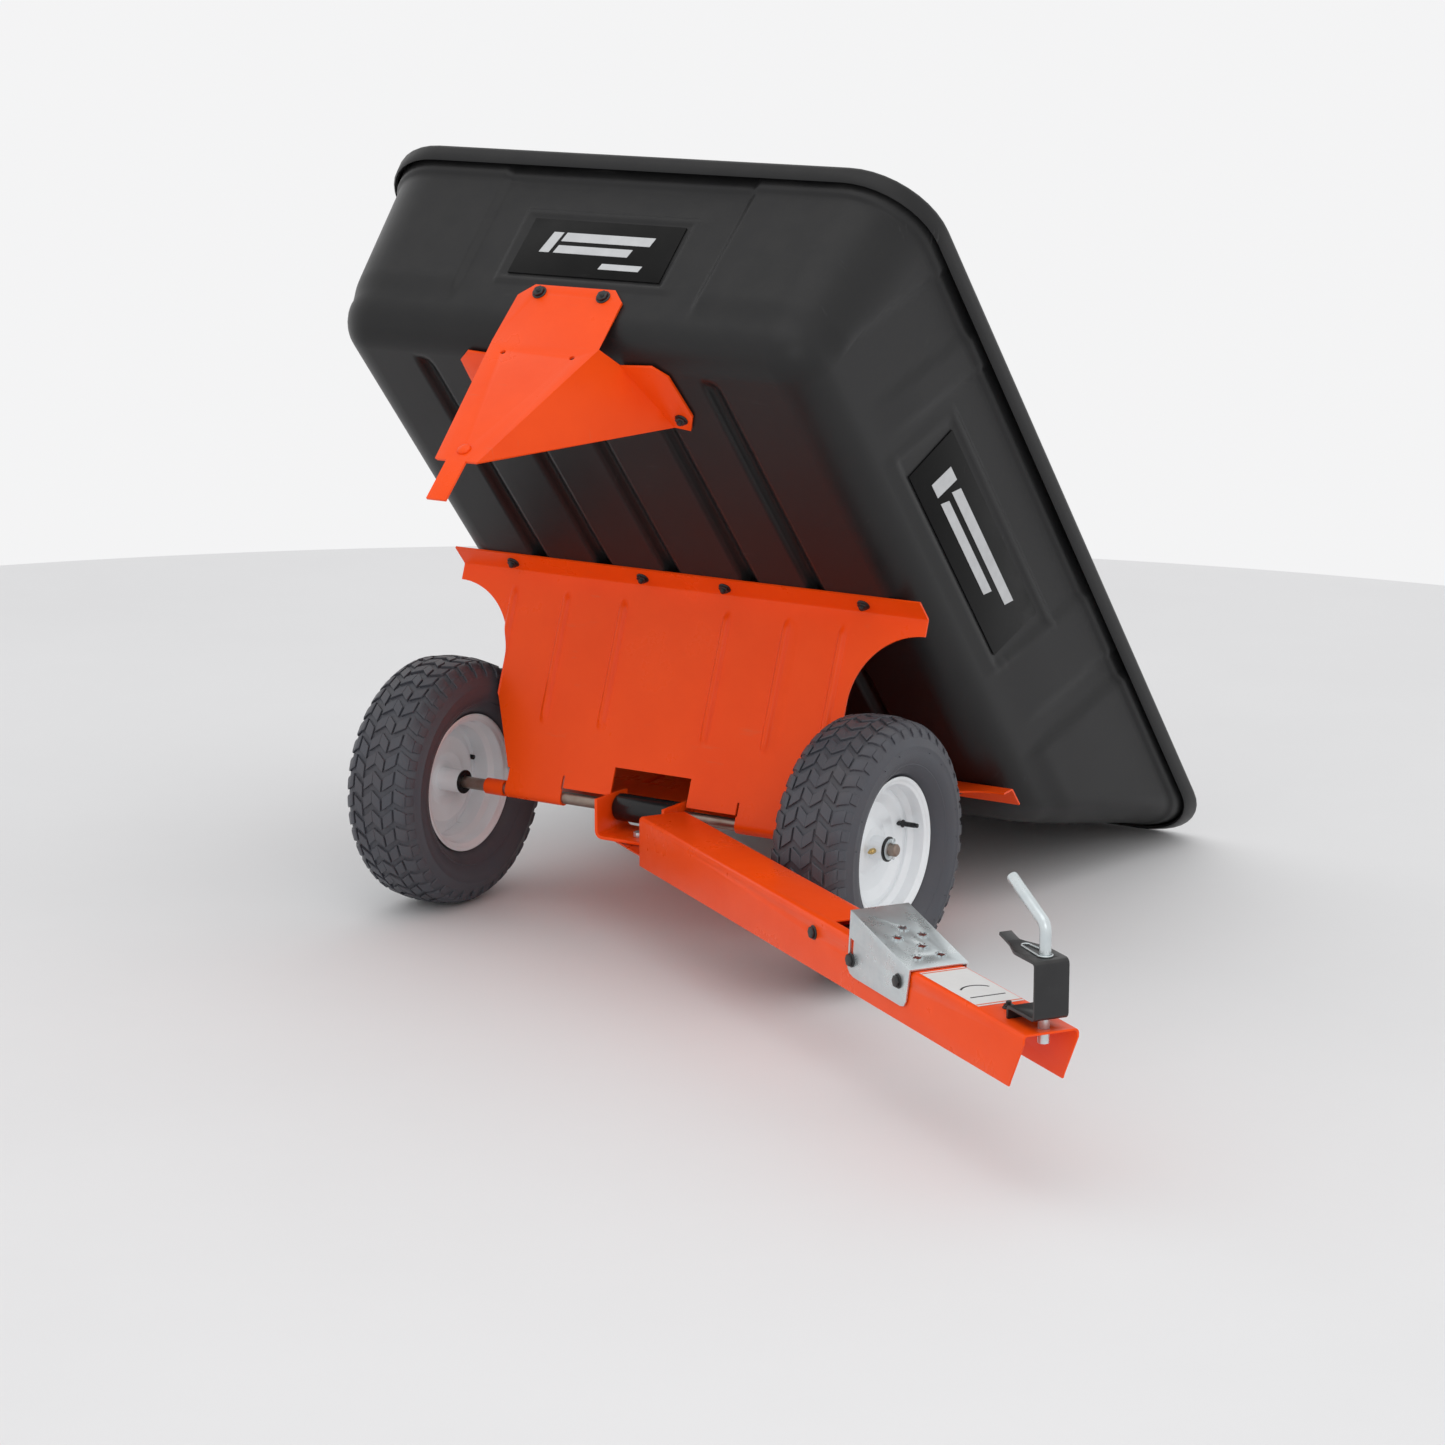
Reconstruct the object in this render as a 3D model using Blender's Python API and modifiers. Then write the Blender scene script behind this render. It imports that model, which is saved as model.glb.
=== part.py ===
"""Two-wheeled garden cart with a tipping poly tub, a swivelling tow bar and a foot latch.

World axes: +X is the cart's left-hand side, -Y is forward, +Z is up. The cart stands tipped out:
the tub leans back on its rear lip and the tow bar is swung to the left.
The tub and its brackets are modelled level in the bed frame, whose origin is the axle's centre.
The tow bar is modelled straight ahead in the tongue frame, whose origin is the kingpin's axis
on the top face of the bar.
"""
import math

import bmesh
import bpy
from mathutils import Matrix, Vector

# ---- driving dimensions, metres and radians ----
GAP = 0.0003                      # left between pieces that touch
TILT = math.radians(49.25)        # tub floor, raised from level
SWIVEL = math.radians(57.0)       # tow bar, swung from straight ahead

TYRE_RADIUS = 0.203               # 16 inch tyre
TRACK = 0.798                     # between the wheels' mid planes
HUB_HALF = 0.034
AXLE_RADIUS = 0.0098
AXLE_OVERHANG = 0.052             # axle end beyond a wheel's mid plane
COTTER_OUT = 0.0449
BUSH_RADIUS = 0.022
BUSH_HALF = 0.0605

FLOOR_HEIGHT = 0.308              # tub's underside above the axle
TUB_DEPTH = 0.351
TUB_WALL = 0.005
FLOOR_FRONT, FLOOR_REAR = -0.762, 0.357
FLOOR_HALF = 0.425
TOP_FRONT, TOP_REAR = -0.781, 0.8155
TOP_HALF = 0.478
FLOOR_CORNER, TOP_CORNER = 0.075, 0.105
FLOOR_FILLET = 0.055
LIP_REACH = 0.017
LIP_DROP = 0.025

SUPPORT_SHEET = 0.003
SUPPORT_HALF = 0.437
SUPPORT_WAIST = 0.322             # half width beside the wheels
SUPPORT_BOLT_X = (-0.33, -0.0775, 0.0775, 0.33)
FRONT_FLANGE = (-0.223, -0.182)   # free edge and fold, along the floor
REAR_FLANGE = (0.290, 0.250)
KNUCKLE_RADIUS = AXLE_RADIUS + GAP + SUPPORT_SHEET / 2
WINDOW_HALF = 0.072
WINDOW_RADIUS = 0.060             # cut away round the swivel bracket

BRACKET_SHEET = 0.005
BRACKET_HALF = BUSH_HALF + GAP + BRACKET_SHEET / 2
BRACKET_TOP, BRACKET_WEB = 0.024, -0.0375
BRACKET_FRONT, BRACKET_REAR = -0.060, 0.026
KINGPIN_Y = -0.030
KINGPIN_RADIUS = 0.006

TONGUE_TOP = 0.0237               # above the axle's centre
TONGUE_HALF = 0.041
TONGUE_DEEP = 0.079
TONGUE_SHEET = 0.003
TONGUE_REAR, TONGUE_FRONT = -0.092, -1.318
SLOT_REAR, SLOT_FRONT, SLOT_HALF = -0.742, -0.806, 0.024
INNER_FRONT = -0.727

PEDAL_SHEET = 0.0025
PEDAL_HALF = 0.045
PEDAL_PIVOT = (-0.9786, -0.0204)  # along the bar, above its top
PEDAL_STOP = (-0.8375, -0.0290)
PEDAL_PRESS = math.radians(10.0)

PIN_Y = -1.298
PIN_RADIUS = 0.0078
HITCH_HALF = 0.025
HITCH_SHEET = 0.005

NOSE_SHEET = 0.004
NOSE_TOP_HALF, NOSE_FOOT_HALF = 0.094, 0.036

ORANGE = (0.78, 0.078, 0.013)
BLACK_POLY = (0.026, 0.026, 0.026)

# ---- scene set-up ----
for stale in list(bpy.data.objects):
    bpy.data.objects.remove(stale, do_unlink=True)

parts = bpy.data.collections.new("tow_behind_cart")
cutters = bpy.data.collections.new("cutters")
bpy.context.scene.collection.children.link(parts)
bpy.context.scene.collection.children.link(cutters)


def make_material(name, colour, roughness, metallic=0.0):
    material = bpy.data.materials.new(name)
    material.use_nodes = True
    shader = material.node_tree.nodes["Principled BSDF"]
    shader.inputs["Base Color"].default_value = (*colour, 1.0)
    shader.inputs["Roughness"].default_value = roughness
    shader.inputs["Metallic"].default_value = metallic
    material.diffuse_color = (*colour, 1.0)
    return material


LOOKS = {
    "orange": (ORANGE, 0.35),
    "poly": (BLACK_POLY, 0.5),
    "black": ((0.012, 0.012, 0.012), 0.45),
    "tyre": ((0.03, 0.03, 0.033), 0.75),
    "rim": ((0.62, 0.64, 0.66), 0.35, 0.6),
    "steel": ((0.42, 0.38, 0.35), 0.4, 0.9),
    "zinc": ((0.58, 0.64, 0.67), 0.35, 0.8),
    "brass": ((0.55, 0.38, 0.15), 0.35, 0.9),
    "label": ((0.85, 0.85, 0.84), 0.5),
}


def empty(name, parent=None, location=(0, 0, 0), rotation=(0, 0, 0)):
    holder = bpy.data.objects.new(name, None)
    holder.parent = parent
    holder.location = location
    holder.rotation_euler = rotation
    parts.objects.link(holder)
    return holder


row = empty("row_origin")
axle_line = empty("axle_line", row)
bed = empty("bed_frame", axle_line, rotation=(-TILT, 0, 0))
bracket = empty("bracket_frame", axle_line)
tongue = empty("tongue_frame", bracket, (0, KINGPIN_Y, TONGUE_TOP), (0, 0, SWIVEL))
pedal = empty("pedal_frame", tongue, (0, *PEDAL_PIVOT))


def place(name, mesh, parent, look, location=(0, 0, 0), rotation=(0, 0, 0)):
    """Adds a finished mesh as a named piece with a material of its own."""
    piece = bpy.data.objects.new(name, mesh)
    mesh.materials.append(make_material(name, *LOOKS[look]))
    piece.parent = parent
    piece.location = location
    piece.rotation_euler = rotation
    parts.objects.link(piece)
    return piece


def as_cutter(piece):
    parts.objects.unlink(piece)
    cutters.objects.link(piece)
    piece.hide_render = True
    piece.display_type = "WIRE"
    return piece


def boolean(piece, tool, operation="DIFFERENCE"):
    step = piece.modifiers.new(tool.name, "BOOLEAN")
    step.object = tool
    step.operation = operation


def fillet(points, radius, steps=3):
    """Rounds the inner corners of an open line of 2D points."""
    line = [Vector(point) for point in points]
    rounded = [line[0]]
    for before, corner, after in zip(line, line[1:], line[2:]):
        back = (before - corner).normalized()
        ahead = (after - corner).normalized()
        half = back.angle(ahead) / 2
        centre = corner + (back + ahead).normalized() * radius / math.sin(half)
        start = corner + back * radius / math.tan(half) - centre
        sweep = (math.pi - 2 * half) * (1 if back.cross(ahead) < 0 else -1)
        for step in range(steps + 1):
            rounded.append(centre + Matrix.Rotation(sweep * step / steps, 2) @ start)
    rounded.append(line[-1])
    return rounded


def arc(centre, radius, first, last, steps):
    """Points on a circle between two angles in degrees."""
    turns = [math.radians(first + (last - first) * step / steps) for step in range(steps + 1)]
    return [(centre[0] + radius * math.cos(t), centre[1] + radius * math.sin(t)) for t in turns]


AXES = {
    "X": lambda a, b, c: (c, a, b),
    "Y": lambda a, b, c: (a, c, b),
    "Z": lambda a, b, c: (a, b, c),
}


def prism(name, outline, low, high, along, parent, look="orange", **where):
    """A flat outline pushed from low to high along one axis."""
    sweep = AXES[along]
    mesh = bpy.data.meshes.new(name)
    bm = bmesh.new()
    face = bm.faces.new([bm.verts.new(sweep(a, b, low)) for a, b in outline])
    grown = bmesh.ops.extrude_face_region(bm, geom=[face])
    moved = [item for item in grown["geom"] if isinstance(item, bmesh.types.BMVert)]
    bmesh.ops.translate(bm, verts=moved, vec=sweep(0, 0, high - low))
    bmesh.ops.recalc_face_normals(bm, faces=bm.faces)
    bm.to_mesh(mesh)
    bm.free()
    return place(name, mesh, parent, look, **where)


def strip(name, line, low, high, along, thickness, parent, look="orange", **where):
    """Bent sheet: an open line swept along one axis and thickened both ways."""
    sweep = AXES[along]
    mesh = bpy.data.meshes.new(name)
    bm = bmesh.new()
    verts = [bm.verts.new(sweep(a, b, low)) for a, b in line]
    edges = [bm.edges.new(pair) for pair in zip(verts, verts[1:])]
    grown = bmesh.ops.extrude_edge_only(bm, edges=edges)
    moved = [item for item in grown["geom"] if isinstance(item, bmesh.types.BMVert)]
    bmesh.ops.translate(bm, verts=moved, vec=sweep(0, 0, high - low))
    bm.to_mesh(mesh)
    bm.free()
    piece = place(name, mesh, parent, look, **where)
    sheet = piece.modifiers.new("sheet", "SOLIDIFY")
    sheet.thickness = thickness
    sheet.offset = 0.0
    sheet.use_even_offset = True
    return piece


def box(name, low, high, parent):
    """A box cutter between two corners."""
    outline = [(low[0], low[1]), (high[0], low[1]), (high[0], high[1]), (low[0], high[1])]
    return as_cutter(prism(name, outline, low[2], high[2], "Z", parent))


def lathe(name, profile, steps, parent, look, closed=True, **where):
    """A turned shape about its own Z, from (radius, height) points down its outer side."""
    mesh = bpy.data.meshes.new(name)
    bm = bmesh.new()
    verts = [bm.verts.new((radius, 0, height)) for radius, height in profile]
    for pair in zip(verts, verts[1:]):
        bm.edges.new(pair)
    if closed:
        bm.edges.new((verts[-1], verts[0]))
    bm.to_mesh(mesh)
    bm.free()
    piece = place(name, mesh, parent, look, **where)
    turn = piece.modifiers.new("turn", "SCREW")
    turn.steps = steps
    turn.render_steps = steps
    turn.use_merge_vertices = True
    turn.merge_threshold = 0.00001
    turn.use_smooth_shade = True
    return piece


def drill(name, radius, low, high, parent, steps=12, **where):
    """A round cutter along its own Z."""
    profile = [(0, high), (radius, high), (radius, low), (0, low)]
    return as_cutter(lathe(name, profile, steps, parent, "steel", closed=False, **where))


def ring(name, inner, outer, low, high, steps, parent, look, **where):
    profile = [(outer, high), (outer, low), (inner, low), (inner, high)]
    return lathe(name, profile, steps, parent, look, **where)


def fastener(name, shank, head, low, high, parent, look="black", head_high=0.006, steps=8, **where):
    """A bolt with its nut: a shank from low to high between two heads, about its own Z."""
    top, bottom = high + GAP, low - GAP
    profile = [(0, top + head_high), (head * 0.85, top + head_high), (head, top), (shank, top)]
    profile += [(shank, bottom), (head, bottom), (head * 0.85, bottom - head_high), (0, bottom - head_high)]
    return lathe(name, profile, steps, parent, look, closed=False, **where)


def wire(name, points, radius, parent, look, sides=2, cyclic=False):
    """A round wire along a line of points, turned into one closed mesh."""
    curve = bpy.data.curves.new(name, "CURVE")
    curve.dimensions = "3D"
    curve.bevel_depth = radius
    curve.bevel_resolution = sides
    curve.use_fill_caps = True
    spline = curve.splines.new("POLY")
    spline.points.add(len(points) - 1)
    spline.use_cyclic_u = cyclic
    for knot, point in zip(spline.points, points):
        knot.co = (*point, 1.0)
    guide = bpy.data.objects.new(name + "_guide", curve)
    parts.objects.link(guide)
    bpy.context.view_layer.update()
    evaluated = guide.evaluated_get(bpy.context.evaluated_depsgraph_get())
    mesh = bpy.data.meshes.new_from_object(evaluated)
    bpy.data.objects.remove(guide, do_unlink=True)
    bm = bmesh.new()
    bm.from_mesh(mesh)
    bmesh.ops.remove_doubles(bm, verts=bm.verts, dist=0.00001)
    bmesh.ops.recalc_face_normals(bm, faces=bm.faces)
    bm.to_mesh(mesh)
    bm.free()
    mesh.materials.clear()
    return place(name, mesh, parent, look)


# ---- axle and wheels ----
ALONG_X = (0, math.pi / 2, 0)     # turns a lathe's Z to the cart's +X


def build_axle():
    end = TRACK / 2 + AXLE_OVERHANG
    chamfer = 0.002
    profile = [(0, end), (AXLE_RADIUS - chamfer, end), (AXLE_RADIUS, end - chamfer)]
    profile += [(radius, -height) for radius, height in reversed(profile)]
    axle = lathe("axle", profile, 24, axle_line, "steel", closed=False, rotation=ALONG_X)
    for side, sign in (("left", 1), ("right", -1)):
        spot = (sign * (TRACK / 2 + COTTER_OUT), 0, 0)
        hole = drill("cotter_hole_" + side, 0.0022, -0.03, 0.03, axle_line, 8, location=spot)
        boolean(axle, hole)
        cotter = [(0, 0.019), (0.0045, 0.019), (0.0045, AXLE_RADIUS + 0.002), (0.0019, AXLE_RADIUS + 0.001)]
        cotter += [(0.0019, -0.015), (0, -0.015)]
        lathe("cotter_" + side, cotter, 8, axle_line, "zinc", closed=False, location=spot)
    ring("axle_bush", AXLE_RADIUS + GAP, BUSH_RADIUS, -BUSH_HALF, BUSH_HALF, 24, bracket, "black",
         rotation=ALONG_X)


def mirrored(half):
    """A closed profile from the half above the middle, which starts and ends on it."""
    return half + [(radius, -height) for radius, height in reversed(half)]


def build_wheel(side, sign):
    centre = empty("wheel_centre_" + side, axle_line, (sign * TRACK / 2, 0, 0))
    # the wheel's own Z points outward
    facing = (0, sign * math.pi / 2, 0)
    outer_wall = [(0.1055, 0.0375), (0.113, 0.0395), (0.126, 0.0575), (0.153, 0.0685), (0.180, 0.064)]
    outer_wall += [(0.198, 0.047), (TYRE_RADIUS, 0.016)]
    inner_wall = [(0.194, 0.028), (0.165, 0.0605), (0.131, 0.052), (0.1055, 0.030)]
    outer_full = mirrored(outer_wall)
    inner_full = [(radius, -height) for radius, height in reversed(inner_wall)] + inner_wall
    lathe("tyre_" + side, outer_full + inner_full, 32, centre, "tyre", rotation=facing)

    sheet = 0.0025
    line = [(0.1135, 0.0456), (0.108, 0.0452), (0.1035, 0.041), (0.1015, 0.024), (0.094, 0.017)]
    line += [(radius, -height) for radius, height in reversed(line)]
    skin = offset_line(line, sheet / 2)
    back = offset_line(line, -sheet / 2)
    lathe("rim_" + side, skin + back[::-1], 24, centre, "rim", rotation=facing)

    disc = [(0.0925, 0.013), (0.0925, 0.010), (0.084, 0.010), (0.070, 0.001), (0.044, 0.001)]
    disc += [(0.030, 0.007), (0.0185, 0.007), (0.0185, -HUB_HALF), (0.0158, -HUB_HALF)]
    disc += [(0.0158, HUB_HALF), (0.0185, HUB_HALF), (0.0185, 0.0105), (0.031, 0.0105)]
    disc += [(0.045, 0.004), (0.069, 0.004), (0.083, 0.013)]
    dish = lathe("wheel_disc_" + side, disc, 24, centre, "rim", rotation=facing)

    for place_name, end in (("outer", 1), ("inner", -1)):
        bearing = [(0.0155, HUB_HALF + GAP), (0.0155, HUB_HALF - 0.016), (AXLE_RADIUS + GAP, HUB_HALF - 0.016)]
        bearing += [(AXLE_RADIUS + GAP, HUB_HALF + 0.003), (0.0195, HUB_HALF + 0.003), (0.0195, HUB_HALF + GAP)]
        lathe(f"bearing_{side}_{place_name}", bearing, 16, centre, "black",
              rotation=(0, end * sign * math.pi / 2, 0))
    ring("axle_washer_" + side, AXLE_RADIUS + GAP, 0.0165, HUB_HALF + 0.0035, HUB_HALF + 0.0055, 16,
         axle_line, "zinc", location=(sign * TRACK / 2, 0, 0), rotation=facing)

    stem_spot = (sign * 0.006, 0.0765, 0.021)
    stem = [(0, 0.038), (0.0035, 0.038), (0.004, 0.032), (0.004, 0.0145), (0.0062, 0.0125), (0.0062, 0.0105)]
    stem += [(0.004, 0.0105), (0.004, -0.006), (0, -0.006)]
    lathe("valve_stem_" + side, stem, 10, centre, "black", closed=False, location=stem_spot, rotation=facing)
    boolean(dish, drill("valve_hole_" + side, 0.004 + GAP, -0.02, 0.02, centre, 10,
                        location=stem_spot, rotation=facing))

    nipple_spot = (sign * 0.021, 0, 0)
    nipple = [(0, 0.034), (0.002, 0.034), (0.003, 0.031), (0.002, 0.028), (0.0045, 0.026), (0.0045, 0.019)]
    nipple += [(0.003, 0.0185 + GAP), (0.003, 0.0163), (0, 0.0163)]
    forward = (math.pi / 2, 0, 0)
    lathe("grease_nipple_" + side, nipple, 8, centre, "brass", closed=False, location=nipple_spot,
          rotation=forward)
    boolean(dish, drill("nipple_hole_" + side, 0.003 + GAP, 0.012, 0.024, centre, 8,
                        location=nipple_spot, rotation=forward))


def offset_line(line, distance):
    """The line moved sideways, mitred at its corners."""
    points = [Vector(point) for point in line]
    moved = []
    for index, point in enumerate(points):
        ways = []
        if index:
            ways.append((point - points[index - 1]).normalized())
        if index < len(points) - 1:
            ways.append((points[index + 1] - point).normalized())
        sides = [Vector((-way.y, way.x)) for way in ways]
        normal = sum(sides, Vector((0, 0))).normalized()
        moved.append(tuple(point + normal * distance / normal.dot(sides[0])))
    return moved


# ---- tub ----
def tub_ring(height, inset):
    """Rounded-rectangle outline of the tub's outside, at a height above the floor."""
    share = height / TUB_DEPTH
    front = FLOOR_FRONT + (TOP_FRONT - FLOOR_FRONT) * share + inset
    rear = FLOOR_REAR + (TOP_REAR - FLOOR_REAR) * share - inset
    half = FLOOR_HALF + (TOP_HALF - FLOOR_HALF) * share - inset
    radius = max(FLOOR_CORNER + (TOP_CORNER - FLOOR_CORNER) * share - inset, 0.02)
    points = []
    corners = ((half - radius, rear - radius, 0), (radius - half, rear - radius, 90))
    corners += ((radius - half, front + radius, 180), (half - radius, front + radius, 270))
    for across, along, start in corners:
        points += arc((across, along), radius, start, start + 90, 5)
    return [(across, along, FLOOR_HEIGHT + height) for across, along in points]


def build_tub():
    rings = []
    for step in range(5):
        turn = math.radians(90 * step / 4)
        rings.append(tub_ring(FLOOR_FILLET * (1 - math.cos(turn)), FLOOR_FILLET * (1 - math.sin(turn))))
    wall_top = TUB_DEPTH - TUB_WALL
    lip_bend = 0.006
    rings.append(tub_ring(wall_top - 2 * lip_bend, 0))
    for turn in (30, 60, 90):
        swing = math.radians(turn)
        rings.append(tub_ring(wall_top - lip_bend * (1 - math.sin(swing)), -lip_bend * (1 - math.cos(swing))))
    for turn in (90, 45, 0):
        swing = math.radians(turn)
        reach = LIP_REACH - lip_bend + lip_bend * math.cos(swing)
        rings.append(tub_ring(wall_top - lip_bend * (1 - math.sin(swing)), -reach))
    rings.append(tub_ring(wall_top - LIP_DROP, -LIP_REACH))

    mesh = bpy.data.meshes.new("tub")
    bm = bmesh.new()
    loops = [[bm.verts.new(point) for point in level] for level in rings]
    bm.faces.new(reversed(loops[0]))
    count = len(loops[0])
    for low, high in zip(loops, loops[1:]):
        for index in range(count):
            after = (index + 1) % count
            bm.faces.new((low[index], low[after], high[after], high[index]))
    bm.to_mesh(mesh)
    bm.free()
    tub = place("tub", mesh, bed, "poly")
    shell = tub.modifiers.new("wall", "SOLIDIFY")
    shell.thickness = TUB_WALL
    shell.offset = -1.0
    shell.use_even_offset = True
    return tub


# ---- axle supports under the tub ----
def build_support(name, flange, knuckles, facing):
    """One leg of the V under the tub; facing is -1 for the front leg and 1 for the rear one."""
    under = FLOOR_HEIGHT - GAP - SUPPORT_SHEET / 2
    free, fold = flange
    away = math.atan2(under, fold)
    reach = math.hypot(under, fold)
    # the leg runs from the fold to a tangent of the knuckle's circle
    lean = math.acos(KNUCKLE_RADIUS / reach)
    touch = math.degrees(away - facing * lean)
    knuckle = arc((0, 0), KNUCKLE_RADIUS, touch, touch - facing * 235, 12)
    bend = fillet([(free, under), (fold, under), knuckle[0]], 0.006)
    sheet = strip(name, bend[:-1] + knuckle, -SUPPORT_HALF, SUPPORT_HALF, "X", SUPPORT_SHEET, bed)

    run = Vector(knuckle[0]) - Vector((fold, under))
    length = run.length
    slope = math.atan2(run.y, run.x)
    leg = empty(name + "_leg", bed, (0, fold, under), (slope, 0, 0))
    inner, outer = knuckles
    arch_top = 0.0273
    arch = SUPPORT_HALF + 0.0015 - SUPPORT_WAIST
    thick = 0.03
    for side in (-1, 1):
        outline = arc((SUPPORT_WAIST + arch, arch_top + arch), arch, -90, -180, 8)
        outline += [(SUPPORT_WAIST, 0.205), (outer, length - 0.030), (outer, length + 0.03)]
        outline += [(SUPPORT_HALF + 0.03, length + 0.03), (SUPPORT_HALF + 0.03, arch_top)]
        points = [(side * across, down) for across, down in outline]
        boolean(sheet, as_cutter(prism(f"{name}_side_{side}", points, -thick, thick, "Z", leg)))
    gap = box(name + "_foot", (-inner, length - 0.014, -thick), (inner, length + 0.03, thick), leg)
    boolean(sheet, gap)
    window_top = length - WINDOW_RADIUS
    low = (-WINDOW_HALF, window_top, -thick)
    boolean(sheet, box(name + "_window", low, (WINDOW_HALF, length, thick), leg))

    return sheet


def bolt_to_floor(tub, sheet, across, along, name, thickness):
    """A bolt through a flange and the tub's floor, with its round head inside the tub."""
    low = FLOOR_HEIGHT - GAP - thickness
    high = FLOOR_HEIGHT + TUB_WALL
    hole = drill(name + "_hole", 0.0043, low - 0.01, high + 0.01, bed, 10, location=(across, along, 0))
    boolean(tub, hole)
    boolean(sheet, hole)
    fastener(name, 0.004, 0.0095, low, high, bed, location=(across, along, 0))


# ---- nose bracket on the tub's front ----
WALL_RAKE = math.atan2(FLOOR_FRONT - TOP_FRONT, TUB_DEPTH)
NOSE_OFF = 0.001 + NOSE_SHEET / 2     # sheet's middle, off the tub
NOSE_FOOT = (-0.805, 0.030)
NOSE_TIP = (-0.801, -0.040)
NOSE_TIP_HALF = 0.017
WING_BOLT = (0.172, -0.613)
EAR_OFF = 0.002                       # the wing's ear stands this far under the floor


def on_wall(across, up, out=0.0):
    """A point up the tub's front wall, stood off it by out."""
    along = FLOOR_FRONT - math.tan(WALL_RAKE) * up - out / math.cos(WALL_RAKE)
    return Vector((across, along, FLOOR_HEIGHT + up))


def build_nose(tub):
    top, corner = 0.098, 0.022
    under = FLOOR_HEIGHT - EAR_OFF - NOSE_SHEET / 2
    plate = [on_wall(NOSE_TOP_HALF - corner, top, NOSE_OFF), on_wall(NOSE_TOP_HALF, top - corner, NOSE_OFF)]
    fold = on_wall(NOSE_TOP_HALF + 0.001, -0.014, NOSE_OFF)
    foot = Vector((NOSE_FOOT_HALF, *NOSE_FOOT))
    neck = Vector((NOSE_TIP_HALF, *NOSE_FOOT))
    tip = Vector((NOSE_TIP_HALF, *NOSE_TIP))
    rear = Vector((0.150, -0.592, under))
    normal = (foot - fold).cross(rear - fold)
    front_along = -0.722
    # the wing's plane meets the floor at this point beside the front fold
    front_across = fold.x - (normal.y * (front_along - fold.y) + normal.z * (under - fold.z)) / normal.x
    front = Vector((front_across, front_along, under))
    ear = [(0.166, -0.726), (0.188, -0.706), (0.194, -0.620), (0.178, -0.588)]
    ear = [Vector((across, along, under)) for across, along in ear]

    mesh = bpy.data.meshes.new("nose_bracket")
    bm = bmesh.new()

    def both(points):
        return [[bm.verts.new((side * x, y, z)) for x, y, z in points] for side in (1, -1)]

    (top_r, top_l), (fold_r, fold_l) = both(plate), both([fold])
    (foot_r, foot_l), (neck_r, neck_l), (tip_r, tip_l) = both([foot]), both([neck]), both([tip])
    bm.faces.new(top_r + fold_r + fold_l + top_l[::-1])
    bm.faces.new(fold_r + foot_r + neck_r + neck_l + foot_l + fold_l)
    bm.faces.new(neck_r + tip_r + tip_l + neck_l)
    for fold_v, foot_v, base, flap in zip((fold_r, fold_l), (foot_r, foot_l), both([front, rear]), both(ear)):
        bm.faces.new(fold_v + [base[0], base[1]] + foot_v)
        bm.faces.new([base[0]] + flap + [base[1]])
    bmesh.ops.recalc_face_normals(bm, faces=bm.faces)
    bm.to_mesh(mesh)
    bm.free()
    nose = place("nose_bracket", mesh, bed, "orange")
    sheet = nose.modifiers.new("sheet", "SOLIDIFY")
    sheet.solidify_mode = "NON_MANIFOLD"
    sheet.nonmanifold_merge_threshold = 0.00001
    sheet.thickness = NOSE_SHEET
    sheet.offset = 0.0
    sheet.use_even_offset = True

    outward = (math.pi / 2 + WALL_RAKE, 0, 0)
    for side, sign in (("left", 1), ("right", -1)):
        spot = on_wall(sign * 0.0575, 0.083)
        hole = drill("nose_hole_" + side, 0.0043, -0.02, 0.02, bed, 10, location=spot, rotation=outward)
        boolean(tub, hole)
        boolean(nose, hole)
        fastener("nose_bolt_" + side, 0.004, 0.0105, -TUB_WALL, NOSE_OFF + NOSE_SHEET / 2, bed,
                 location=spot, rotation=outward)
        bolt_to_floor(tub, nose, sign * WING_BOLT[0], WING_BOLT[1], "wing_bolt_" + side,
                      EAR_OFF + NOSE_SHEET - GAP)

    drop = (foot - fold).normalized()
    lean = math.atan2(-drop.y, -drop.z)
    face_on = (math.pi / 2 - lean, 0, 0)
    for side, sign in (("left", 1), ("right", -1)):
        spot = Vector((sign * 0.062, fold.y, fold.z)) + Vector((0, drop.y, drop.z)).normalized() * 0.024
        boolean(nose, drill("nose_spare_hole_" + side, 0.0045, -0.02, 0.02, bed, 10,
                            location=spot, rotation=face_on))
    spot = Vector((0, foot.y, foot.z)) - Vector((0, drop.y, drop.z)).normalized() * 0.024
    boolean(nose, drill("striker_hole", 0.0053, -0.02, 0.02, bed, 10, location=spot, rotation=face_on))
    fastener("striker_bolt", 0.005, 0.0105, -NOSE_SHEET / 2, NOSE_SHEET / 2, bed, "orange",
             location=spot, rotation=face_on)


def build_badges():
    front = [(-0.137, 0.120), (0.137, 0.120), (0.137, 0.228), (-0.137, 0.228)]
    outward = (math.pi / 2 + WALL_RAKE, 0, 0)
    lift = 0.0006
    prism("badge_front", front, lift, lift + 0.001, "Z", bed, "black", location=on_wall(0, 0),
          rotation=outward)
    lean = math.atan2(TOP_HALF - FLOOR_HALF, TUB_DEPTH)
    side_outline = [(-0.095, -0.405), (-0.212, -0.385), (-0.212, 0.052), (-0.095, 0.022)]
    for side, sign in (("left", 1), ("right", -1)):
        points = [(sign * up, along) for up, along in side_outline]
        prism("badge_" + side, points, lift, lift + 0.001, "Z", bed, "black",
              location=(sign * FLOOR_HALF, 0, FLOOR_HEIGHT), rotation=(0, sign * (math.pi / 2 + lean), 0))


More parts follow.
